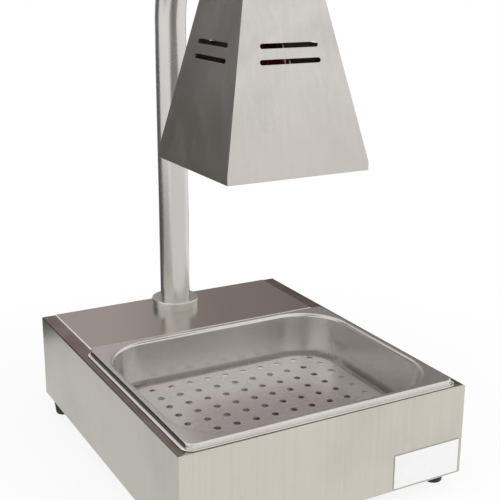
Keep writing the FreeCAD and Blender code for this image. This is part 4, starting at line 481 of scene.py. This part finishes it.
def ruby_glass():
    """Blown ruby glass: deep red, glossy, with the slight waviness of a mould."""
    finish = Finish("lamp_ruby", Base_Color=(0.20, 0.008, 0.006, 1.0), Roughness=0.08,
                    Coat_Weight=0.6, Coat_Roughness=0.04, IOR=1.5, Transmission_Weight=0.35)
    wave = finish.noise((34.0, 34.0, 22.0))
    low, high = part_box("lamp_glass")
    deep = finish.axis(2).rise(low.z, low.z + 0.8 * (high.z - low.z))
    tone = deep * 0.7 + wave * 0.2
    light, dark = (0.34, 0.012, 0.008, 1.0), (0.09, 0.004, 0.004, 1.0)
    finish.feed("Base Color", finish.mix(tone, light, dark))
    finish.feed("Roughness", 0.05 + wave * 0.08)
    finish.bump(wave, strength=0.12, distance=0.6 * MM)
    return finish.material


def plate_enamel():
    """A bare white plate with a thin grey line round it."""
    finish = Finish("badge_white", Base_Color=grey(0.86), Roughness=0.25, Coat_Weight=0.4)
    low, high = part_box("badge_plate")
    middle, half = (low + high) / 2, (high - low) / 2
    across = abs(finish.axis(0) - middle.x).past(half.x, PLATE_LINE)
    upright = abs(finish.axis(2) - middle.z).past(half.z, PLATE_LINE)
    drift = finish.noise(30.0, detail=3.0, rough=0.55)
    face = finish.mix(drift, grey(0.83), grey(0.90))
    finish.feed("Base Color", finish.mix(across.most(upright), face, grey(0.34, 0.02)))
    finish.feed("Roughness", 0.2 + drift * 0.1)
    return finish.material


def plain(name, colour, rough, grain=0.2, metal=0.0, spread=0.15, coat=0.0):
    """A moulded, glazed or plated surface: fine grain, a soft drift of tone and faint marks.

    The colour drifts by the spread, a share of it, to either side.
    """
    finish = Finish(name, Base_Color=(*colour, 1.0), Roughness=rough, Metallic=metal,
                    Coat_Weight=coat)
    fine = finish.noise(600.0, detail=3.0, rough=0.6)
    drift = finish.noise(30.0, detail=3.0, rough=0.55, bend=0.5)
    marks = finish.noise((90.0, 90.0, 40.0), detail=4.0, rough=0.7, bend=1.2).rise(0.60, 0.75)
    dark, light = tinted(colour, 1 - spread), tinted(colour, 1 + spread)
    finish.feed("Base Color", finish.mix(drift * 0.7 + fine * 0.3, dark, light))
    finish.feed("Roughness", rough - 0.04 + fine * 0.06 + marks * 0.12)
    finish.bump(fine, strength=grain, distance=0.08 * MM)
    return finish


def marked_rocker(node):
    """A rocker's red key with a white bar for on and a white ring for off."""
    finish = plain(f"{node}_red", ROCKER_COLOUR, 0.28, spread=0.06, coat=0.3)
    low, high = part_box(node)
    middle = (low + high) / 2
    quarter = (high.z - low.z) / 4
    across = finish.axis(0) - middle.x
    upright = finish.axis(2) - middle.z
    on, off = upright - quarter, upright + quarter
    bar = across.near(BAR_HALF_WIDTH, MARK_BLUR) * on.near(BAR_HALF_HEIGHT, MARK_BLUR)
    reach = (across * across + off * off) ** 0.5
    ring = (reach - RING_RADIUS).near(RING_HALF_WIDTH, MARK_BLUR)
    finish.feed("Base Color", finish.mix(bar.most(ring), finish.shades, grey(0.8)))
    return finish.material


def braided_sleeve():
    """Glass-fibre sleeving: two crossing sets of threads round the cable, with painted shade in
    the hollows between them.
    """
    finish = Finish("cable_sleeve", Base_Color=(0.72, 0.69, 0.60, 1.0), Roughness=0.75)
    threads = 420.0
    left, right = (
        finish.node("ShaderNodeTexWave", {"wave_type": "BANDS", "bands_direction": "DIAGONAL"}, {
            "Vector": finish.scaled((hand * threads, threads, threads)), "Scale": 1.0,
            "Distortion": 1.0}, output="Fac") for hand in (1, -1))
    weave = left.most(right)
    # the hollows between the threads are painted darker as shade, the crowns lighter
    shaded_hollow, lit_crown = (0.45, 0.42, 0.35, 1.0), (0.78, 0.75, 0.67, 1.0)
    finish.feed("Base Color", finish.mix(weave, shaded_hollow, lit_crown))
    finish.bump(weave, strength=0.6, distance=0.3 * MM)
    return finish.material


CASE_SIDE = case_side_steel()
FINISHES = {
    "case_steel": steel("case_upright", CASE_COLOUR, 0.30, UPRIGHT, contrast=0.7,
                        wear=1.3).material,
    "pan_steel": pan_sheet_steel(),
    "tube_steel": steel("turned_steel", TUBE_COLOUR, 0.26, ROUND, contrast=0.5,
                        metal=0.9).material,
    "inner_steel": zinc_steel("inner_steel", 0.46),
    "fastener_steel": zinc_steel("fastener_steel", 0.58),
    "foot_rubber": rubber(),
    "lamp_ruby": ruby_glass(),
    "lamp_metal": plain("lamp_metal", (0.72, 0.70, 0.65), 0.3, metal=1.0).material,
    "filament_metal": plain("filament_metal", (0.34, 0.33, 0.31), 0.4, metal=1.0).material,
    "holder_ceramic": plain("holder_ceramic", (0.80, 0.77, 0.70), 0.22, grain=0.05,
                            spread=0.05, coat=0.5).material,
    "holder_brass": plain("holder_brass", (0.66, 0.46, 0.20), 0.32, metal=1.0).material,
    "element_metal": heated_steel(),
    "badge_white": plate_enamel(),
    "fitting_black": plain("fitting_black", (0.024, 0.024, 0.026), 0.42, spread=0.2).material,
    "lead_insulation": plain("lead_insulation", (0.30, 0.045, 0.035), 0.5, spread=0.1).material,
    "cable_sleeve": braided_sleeve(),
    "thermostat_body": plain("thermostat_body", (0.10, 0.065, 0.045), 0.4, spread=0.12).material,
}
OWN_FINISH = {
    "deck": deck_steel(),
    "drain_plate": steel("drain_steel", PAN_COLOUR, 0.26, SIDEWAYS, contrast=0.4,
                         metal=PAN_METAL).material,
    "shade": shade_sheet_steel(),
    "side_panel_left": CASE_SIDE,
    "side_panel_right": CASE_SIDE,
    "lamp_rocker": marked_rocker("lamp_rocker"),
    "heater_rocker": marked_rocker("heater_rocker"),
}
POST_STEEL = steel("post_steel", TUBE_COLOUR, 0.25, ROUND, follow="run", contrast=0.25,
                   wear=0.7, groove=0.02 * MM, metal=0.95).material


def finish_nodes():
    """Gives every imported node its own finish, or that of its slot."""
    for node, slot in SLOTS.items():
        mesh = NODES[node].data
        mesh.materials.clear()
        mesh.materials.append(OWN_FINISH.get(node) or FINISHES[slot])


def show(name, data):
    """An object in the scene for a mesh, a lamp or a camera."""
    item = bpy.data.objects.new(name, data)
    bpy.context.scene.collection.objects.link(item)
    return item


def take_place(piece, node):
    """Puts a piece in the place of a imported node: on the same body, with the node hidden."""
    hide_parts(node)
    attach(piece, NODES[node]["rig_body"])


def make_piece(name, grid, material, node, along=False, run=None):
    """A closed piece over a grid of points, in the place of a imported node.

    Rows follow each other along the piece, and each row goes round it, its last point joined to
    its first. With along, the last row is joined to the first too. Points that fall together,
    as at a pole, are merged. The faces are turned outwards by the sign of the volume inside, and
    edges that turn by more than 40 degrees stay sharp. A run gives each point its place along
    and across the piece, for patterns that follow it.
    """
    rows, columns = grid.shape[:2]
    numbers = np.arange(rows * columns).reshape(rows, columns)
    numbers = np.concatenate([numbers, numbers[:, :1]], axis=1)
    if along:
        numbers = np.concatenate([numbers, numbers[:1]], axis=0)
    quads = np.stack([
        numbers[:-1, :-1], numbers[:-1, 1:], numbers[1:, 1:], numbers[1:, :-1]], axis=-1)
    mesh = bpy.data.meshes.new(name)
    mesh.from_pydata(grid.reshape(-1, 3).tolist(), [], quads.reshape(-1, 4).tolist())
    if run is not None:
        mesh.attributes.new("run", "FLOAT_VECTOR", "POINT").data.foreach_set("vector", run.ravel())
    shape = bmesh.new()
    shape.from_mesh(mesh)
    bmesh.ops.remove_doubles(shape, verts=shape.verts, dist=POLE_GAP)
    if shape.calc_volume(signed=True) < 0:
        bmesh.ops.reverse_faces(shape, faces=shape.faces)
    shape.to_mesh(mesh)
    shape.free()
    mesh.shade_smooth()
    mesh.set_sharp_from_angle(angle=SHARP_TURN)
    mesh.materials.append(material)
    take_place(show(name, mesh), node)


def soften(node):
    """A folded sheet with its long sharp edges rounded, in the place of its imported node.

    Triangles in one plane are joined first. Edges sharper than 30 degrees and longer than 8 mm
    are rounded, and the others stay sharp, as the edges of small holes do. Faces that the
    rounding leaves without an area are taken out.
    """
    shape = bmesh.new()
    shape.from_mesh(NODES[node].data)
    bmesh.ops.remove_doubles(shape, verts=shape.verts, dist=SHEET_MERGE)
    bmesh.ops.dissolve_limit(shape, angle_limit=SHEET_FLAT_TURN, verts=shape.verts,
                             edges=shape.edges)
    sharp = [line for line in shape.edges
             if line.is_manifold and line.calc_face_angle() > SHEET_FOLD_TURN]
    rounded = [line for line in sharp if line.calc_length() > SHEET_LONG]
    for line in sharp:
        line.smooth = False
    for line in rounded:
        line.smooth = True
    bmesh.ops.bevel(shape, geom=rounded, offset=SHEET_EDGE, offset_type="OFFSET",
                    segments=SHEET_EDGE_STEPS, profile=0.5, affect="EDGES", clamp_overlap=False)
    bmesh.ops.triangulate(shape, faces=shape.faces)
    bmesh.ops.remove_doubles(shape, verts=shape.verts, dist=SHEET_SLIVER)
    bmesh.ops.dissolve_degenerate(shape, dist=SHEET_SLIVER, edges=shape.edges)
    for face in shape.faces:
        face.smooth = True
    mesh = bpy.data.meshes.new(f"{node}_sheet")
    shape.to_mesh(mesh)
    shape.free()
    mesh.materials.append(NODES[node].data.materials[0])
    piece = show(f"{node}_sheet", mesh)
    shading = piece.modifiers.new("even_shading", "WEIGHTED_NORMAL")
    shading.keep_sharp = True
    take_place(piece, node)


def soften_sheets():
    """Rounds the edges of the box's panels, the deck and the shade."""
    for node in SHEETS:
        soften(node)


def arc(centre, radius, start, end, steps=SMALL_STEPS):
    """Points on a circle about a centre, from one angle to another in degrees."""
    angles = np.radians(np.linspace(start, end, steps))
    return np.stack([
        centre[0] + radius * np.cos(angles), centre[1] + radius * np.sin(angles)], axis=1)


def turned(name, profile, x, y, material, node, along=True):
    """A profile of radii r and heights z turned about an axis: (x + r cos a, y + r sin a, z)."""
    radius, height = profile[:, :1], profile[:, 1:]
    angles = np.linspace(0.0, 2 * np.pi, TURN_STEPS, endpoint=False)
    grid = np.stack([
        x + radius * np.cos(angles), y + radius * np.sin(angles), height + 0 * angles], axis=-1)
    make_piece(name, grid, material, node, along=along)


def pan_section(top, under):
    """The pan's section as insets from the lip and heights, from the floor up, over and back.

    The upper face runs over the floor's bend, the wall, the mouth's edge, the rim's shoulder, the
    step and the lip, and the lower face runs back one sheet's thickness below it. The wall
    leans, so the foot's inset is the mouth's plus what both bends and the straight take up.
    """
    floor = under + PAN_SHEET
    seat = top - PAN_RISE
    lip_top = seat + PAN_LIP_HEIGHT
    mouth = PAN_LIP + PAN_RIM
    lean = math.degrees(PAN_LEAN)
    bends = PAN_EDGE + PAN_FLOOR_RADIUS
    straight = (top - floor - bends * (1 - math.sin(PAN_LEAN))) / math.cos(PAN_LEAN)
    foot = mouth + bends * math.cos(PAN_LEAN) + straight * math.sin(PAN_LEAN)
    shoulder = (PAN_LIP + PAN_SHOULDER, top - PAN_SHOULDER)
    edge = (mouth, top - PAN_EDGE)
    well = (foot, floor + PAN_FLOOR_RADIUS)
    fillet = (PAN_LIP - PAN_STEP_FILLET, lip_top + PAN_STEP_FILLET)
    lip_end = (PAN_LIP_HEIGHT / 2, seat + PAN_LIP_HEIGHT / 2)
    section = np.concatenate([
        arc(well, PAN_FLOOR_RADIUS, 270, 180 + lean, BEND_STEPS // 2),
        arc(edge, PAN_EDGE, lean, 90),
        arc(shoulder, PAN_SHOULDER, 90, 180),
        arc(fillet, PAN_STEP_FILLET, 0, -90, FILLET_STEPS),
        arc(lip_end, PAN_LIP_HEIGHT / 2, 90, 270),
        [(PAN_LIP + PAN_SHEET, seat)],
        arc(shoulder, PAN_SHOULDER - PAN_SHEET, 180, 90),
        arc(edge, PAN_EDGE - PAN_SHEET, 90, lean),
        arc(well, PAN_FLOOR_RADIUS + PAN_SHEET, 180 + lean, 270, BEND_STEPS // 2),
    ])
    return section, mouth, foot


def make_pan():
    """The pan, pressed from one sheet: lip, step, shoulder, flat rim, bowl and floor.

    At each inset of its section the outline is a rectangle with round corners: half sizes less
    the inset, and a corner radius that falls with the inset over the lip and the bowl and opens
    from the step's to the mouth's over the rim.
    """
    low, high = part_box("pan")
    middle, half = (low + high) / 2, (high - low) / 2
    section, mouth, foot = pan_section(high.z, low.z)
    inset, height = section.T
    step = PAN_LIP + PAN_SHOULDER
    corner = np.interp(inset, [0.0, step, mouth, foot], [
        PAN_OUTER_CORNER, PAN_OUTER_CORNER - step, PAN_MOUTH_CORNER,
        PAN_MOUTH_CORNER - (foot - mouth)])
    half_x, half_y = half.x - inset, half.y - inset
    # the floor's middle closes the section above and below
    half_x, half_y, corner = (np.pad(values, 1) for values in (half_x, half_y, corner))
    height = np.concatenate([[low.z + PAN_SHEET], height, [low.z]])
    quarter = np.repeat(np.arange(4), CORNER_STEPS)
    angle = np.radians(90 * quarter + np.tile(np.linspace(0, 90, CORNER_STEPS), 4))
    side_x = np.array([1, -1, -1, 1])[quarter]
    side_y = np.array([1, 1, -1, -1])[quarter]
    grid = np.stack([
        middle.x + side_x * (half_x - corner)[:, None] + corner[:, None] * np.cos(angle),
        middle.y + side_y * (half_y - corner)[:, None] + corner[:, None] * np.sin(angle),
        height[:, None] + 0 * angle,
    ], axis=-1)
    make_piece("pressed_pan", grid, FINISHES["pan_steel"], "pan")


def make_post():
    """The bent tube: a circle carried along a line that bends a quarter turn forward, then down.

    The line's heading goes from up through forward to down. Round each bend its place is the
    bend's centre plus the radius times the outward direction, and each ring lies across the
    line. The inner wall runs back along the same line.
    """
    low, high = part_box("post_tube")
    radius = (high.x - low.x) / 2
    post_y, lamp_y = high.y - radius, low.y + radius
    crook_top = high.z - radius
    start, end = low.z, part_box("hanger_plate")[0].z
    first = np.radians(np.linspace(0, 90, BEND_STEPS))
    second = np.radians(np.linspace(90, 180, BEND_STEPS))
    y = np.concatenate([
        [post_y], post_y - CROOK_RADIUS + CROOK_RADIUS * np.cos(first),
        lamp_y + CROOK_END_RADIUS + CROOK_END_RADIUS * np.cos(second), [lamp_y]])
    z = np.concatenate([
        [start], crook_top - CROOK_RADIUS + CROOK_RADIUS * np.sin(first),
        crook_top - CROOK_END_RADIUS + CROOK_END_RADIUS * np.sin(second), [end]])
    outward = np.concatenate([[0.0], first, second, [np.pi]])
    length = np.concatenate([[0.0], np.cumsum(np.hypot(np.diff(y), np.diff(z)))])
    there_and_back = np.concatenate([np.arange(len(y)), np.arange(len(y))[::-1]])
    y, z, outward, length = (values[there_and_back, None] for values in (y, z, outward, length))
    tube = np.repeat([radius, radius - TUBE_WALL], len(there_and_back) // 2)[:, None]
    angle = np.linspace(0.0, 2 * np.pi, TURN_STEPS, endpoint=False)
    across, along = tube * np.sin(angle), tube * np.cos(angle)
    grid = np.stack([across, y + along * np.cos(outward), z + along * np.sin(outward)], axis=-1)
    run = np.stack([across, along, length + 0 * angle], axis=-1).astype(np.float32)
    make_piece("bent_post", grid, POST_STEEL, "post_tube", along=True, run=run)


def make_collars():
    """The ring collars on the deck and on the shade: a rounded rim that slopes in to the tube."""
    for node in ("post_collar", "shade_collar"):
        low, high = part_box(node)
        middle = (low + high) / 2
        outer = (high.x - low.x) / 2
        profile = np.concatenate([
            [(COLLAR_BORE, low.z), (outer, low.z)],
            arc((outer - COLLAR_EDGE, high.z - COLLAR_EDGE), COLLAR_EDGE, 0, 90),
            [(COLLAR_BORE, high.z - COLLAR_DROP)],
        ])
        turned(f"{node}_ring", profile, 0.0, middle.y, FINISHES["tube_steel"], node)


def make_feet():
    """The rubber feet: a tapered wall, a round lower edge and a recess for the screw."""
    for node in FEET:
        low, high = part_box(node)
        middle = (low + high) / 2
        web = high.z - FOOT_WEB
        profile = np.concatenate([
            [(FOOT_BORE, high.z), (FOOT_BORE, web), (FOOT_RECESS, web), (FOOT_RECESS, low.z)],
            arc((FOOT_BASE_RADIUS - FOOT_EDGE, low.z + FOOT_EDGE), FOOT_EDGE, -90, 0),
            [(FOOT_WALL_RADIUS, high.z - FOOT_CHAMFER), (FOOT_TOP_RADIUS, high.z)],
        ])
        turned(f"{node}_moulding", profile, middle.x, middle.y, FINISHES["foot_rubber"], node)


def smooth_line(points):
    """A Catmull-Rom curve through points: each span is a cubic of the four points about it."""
    points = np.asarray(points, float)
    padded = np.concatenate([[2 * points[0] - points[1]], points, [2 * points[-1] - points[-2]]])
    a, b, c, d = (padded[k:len(padded) - 3 + k, None] for k in range(4))
    t = np.linspace(0.0, 1.0, SPAN_STEPS, endpoint=False)[None, :, None]
    curve = 0.5 * (2 * b + (c - a) * t + (2 * a - 5 * b + 4 * c - d) * t ** 2
                   + (3 * b - a - 3 * c + d) * t ** 3)
    return np.concatenate([curve.reshape(-1, 2), points[-1:]])


def make_lamp_glass():
    """The blown lamp: its outline turned about the lamp's axis, with an inner wall set back.

    The inner wall is the outline less its normal times the wall's thickness.
    """
    low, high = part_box("lamp_glass")
    middle = (low + high) / 2
    radius = (high.x - low.x) / 2
    line = smooth_line(GLASS_SHARES) * (radius, LAMP_LENGTH)
    line[:, 0] = line[:, 0].clip(0)
    slope = np.gradient(line, axis=0)
    normal = np.stack([slope[:, 1], -slope[:, 0]], axis=1)
    normal /= np.linalg.norm(normal, axis=1, keepdims=True)
    normal[0] = (0.0, -1.0)
    inner = line - normal * GLASS_WALL
    profile = np.concatenate([line, inner[::-1]])
    profile[:, 0] = profile[:, 0].clip(0)
    profile[:, 1] += low.z
    turned("blown_lamp", profile, middle.x, middle.y, FINISHES["lamp_ruby"], "lamp_glass",
           along=False)


def make_flat(name, corners, material):
    """A flat four-cornered sheet of the stage."""
    mesh = bpy.data.meshes.new(name)
    mesh.from_pydata(corners, [], [(0, 1, 2, 3)])
    mesh.materials.append(material)
    sheet = show(name, mesh)
    return sheet


def make_floor():
    """A pale floor that shows white and keeps a soft shadow."""
    finish = Finish("floor_paper", Base_Color=grey(0.8), Roughness=0.9, Specular_IOR_Level=0.0)
    white = finish.node("ShaderNodeEmission", inputs={"Color": grey(1.0), "Strength": 1.0})
    paper = Wire(finish, finish.shader.outputs["BSDF"])
    away = finish.node("ShaderNodeVectorMath", {"operation": "LENGTH"}, {
        "Vector": finish.places()}, output="Value")
    share = FLOOR_WHITE + away.rise(*FLOOR_FADE) * (1 - FLOOR_WHITE)
    finish.surface(finish.node("ShaderNodeMixShader", inputs={
        0: finish.background_rays() * share, 1: paper, 2: white}))
    r = FLOOR_REACH
    make_flat("floor", [(-r, -r, 0), (r, -r, 0), (r, r, 0), (-r, r, 0)], finish.material)


def make_card(name, place, facing, size, stops):
    """A card that only gloss sees, from the side that it faces.

    Its size is its width and height. Its colours stand at places from 0, its left edge, to 1,
    its right.
    """
    finish = Finish(name, Base_Color=grey(0.0))
    coordinates = finish.node("ShaderNodeUVMap", {"uv_map": "card"})
    along = finish.node("ShaderNodeSeparateXYZ", inputs={"Vector": coordinates})
    tone = finish.node("ShaderNodeValToRGB", {"stops": stops}, {"Fac": along})
    glow = finish.node("ShaderNodeEmission", inputs={"Color": tone, "Strength": 1.0})
    clear = finish.node("ShaderNodeBsdfTransparent")
    behind = finish.node("ShaderNodeNewGeometry", output="Backfacing")
    finish.surface(finish.node("ShaderNodeMixShader", inputs={0: behind, 1: clear, 2: glow}))
    towards = (Vector(facing) - Vector(place)).normalized()
    across = Vector((-towards.y, towards.x, 0)).normalized() * size[0] / 2
    up = towards.cross(across).normalized() * size[1] / 2
    middle = Vector(place)
    corners = [middle - across + up, middle + across + up, middle + across - up,
               middle - across - up]
    card = make_flat(name, corners, finish.material)
    uv = card.data.uv_layers.new(name="card")
    for loop, corner in zip(uv.data, ((0, 0), (1, 0), (1, 1), (0, 1))):
        loop.uv = corner
    card.visible_camera = False
    card.visible_diffuse = False
    card.visible_shadow = False
    card.visible_transmission = False


def make_cards():
    """The cards that the steel reflects, behind the box, beside it and before the post."""
    make_card("card_back_left", (-0.62, 0.95, 0.5), STAGE_MIDDLE, (0.85, 1.0), (
        (0.0, grey(0.095, 0.03)), (1.0, grey(0.105, 0.03))))
    make_card("card_back_right", (0.75, 1.65, 0.95), STAGE_MIDDLE, (2.6, 1.3), (
        (0.0, (0.52, 0.47, 0.49, 1.0)), (0.41, (0.49, 0.44, 0.46, 1.0)),
        (0.49, (0.29, 0.24, 0.25, 1.0)), (0.60, (0.26, 0.22, 0.23, 1.0)),
        (0.67, (0.19, 0.16, 0.16, 1.0)), (0.72, (0.10, 0.085, 0.08, 1.0)),
        (1.0, (0.09, 0.08, 0.075, 1.0))))
    make_card("card_back_low", (0.35, 1.50, 0.17), (0.0, 0.0, 0.17), (2.4, 0.36), (
        (0.0, grey(0.20)), (1.0, grey(0.14))))
    make_card("card_behind_box", (0.30, 0.66, 0.05), (0.30, 0.0, 0.05), (0.9, 0.10), (
        (0.0, grey(0.20)), (1.0, grey(0.14))))
    make_card("card_camera", (-0.42, -0.78, 0.25), STAGE_MIDDLE, (0.3, 0.7), (
        (0.0, grey(0.42)), (1.0, grey(0.42))))
    make_card("card_left_floor", (-0.77, 0.03, 0.001), (-0.77, 0.0301, 1.0), (1.2, 0.82), (
        (0.0, grey(0.76)), (0.24, grey(0.72)), (0.34, grey(0.42)), (1.0, grey(0.36))))
    make_card("card_back_floor", (-0.67, 1.04, 0.001), (-0.67, 1.0401, 1.0), (1.4, 1.2), (
        (0.0, grey(0.06)), (1.0, grey(0.06))))
    make_card("card_before_post", (0.095, 0.10, 0.245), (0.095, 0.30, 0.245), (0.31, 0.23), (
        (0.0, grey(0.86)), (1.0, grey(0.82))))


def stage_light(name, place, side, power):
    """A square soft box that gloss doesn't see, turned to the middle of the stage."""
    lamp = bpy.data.lights.new(name, "AREA")
    lamp.shape = "RECTANGLE"
    lamp.size = side
    lamp.size_y = side
    lamp.energy = power
    item = show(name, lamp)
    item.location = place
    aim = Vector(STAGE_MIDDLE) - Vector(place)
    item.rotation_euler = aim.to_track_quat("-Z", "Y").to_euler()
    item.visible_glossy = False


def make_world():
    """Even soft light all round, white where it is seen."""
    world = bpy.data.worlds.new("studio")
    bpy.context.scene.world = world
    world.use_nodes = True
    sky = Graph(world.node_tree, "World Output")
    light = sky.tree.nodes["Background"]
    light.inputs["Color"].default_value = grey(1.0)
    light.inputs["Strength"].default_value = WORLD_LIGHT
    soft = Wire(sky, light.outputs["Background"])
    white = sky.node("ShaderNodeBackground", inputs={"Color": grey(1.0), "Strength": 1.0})
    sky.surface(sky.node("ShaderNodeMixShader", inputs={
        0: sky.background_rays(), 1: soft, 2: white}))


def make_stage():
    """Floor, world, cards and soft boxes."""
    make_floor()
    make_world()
    make_cards()
    stage_light("key", (1.3, -1.9, 2.1), side=1.6, power=40.0)
    stage_light("fill", (-1.9, -1.0, 1.7), side=1.6, power=18.0)
    stage_light("top", (0.0, 0.2, 2.6), side=2.0, power=20.0)


def make_camera():
    """The camera of the photograph."""
    forward = Vector((math.sin(CAMERA_YAW) * math.cos(CAMERA_PITCH),
                      math.cos(CAMERA_YAW) * math.cos(CAMERA_PITCH), -math.sin(CAMERA_PITCH)))
    right = Vector((math.cos(CAMERA_YAW), -math.sin(CAMERA_YAW), 0))
    down = forward.cross(right)
    c, s = math.cos(CAMERA_ROLL), math.sin(CAMERA_ROLL)
    level, drop = right * c + down * s, down * c - right * s
    camera = bpy.data.cameras.new("camera")
    camera.sensor_width = CAMERA_SENSOR
    camera.sensor_height = CAMERA_SENSOR
    camera.lens = CAMERA_LENS
    camera.clip_end = CAMERA_REACH
    item = show("camera", camera)
    turn = Matrix((level, -drop, -forward)).transposed()
    item.matrix_world = Matrix.Translation(CAMERA_PLACE) @ turn.to_4x4()
    bpy.context.scene.camera = item


finish_nodes()
soften_sheets()
make_pan()
make_post()
make_collars()
make_feet()
make_lamp_glass()
make_stage()
make_camera()
bpy.context.scene.view_settings.view_transform = "Standard"
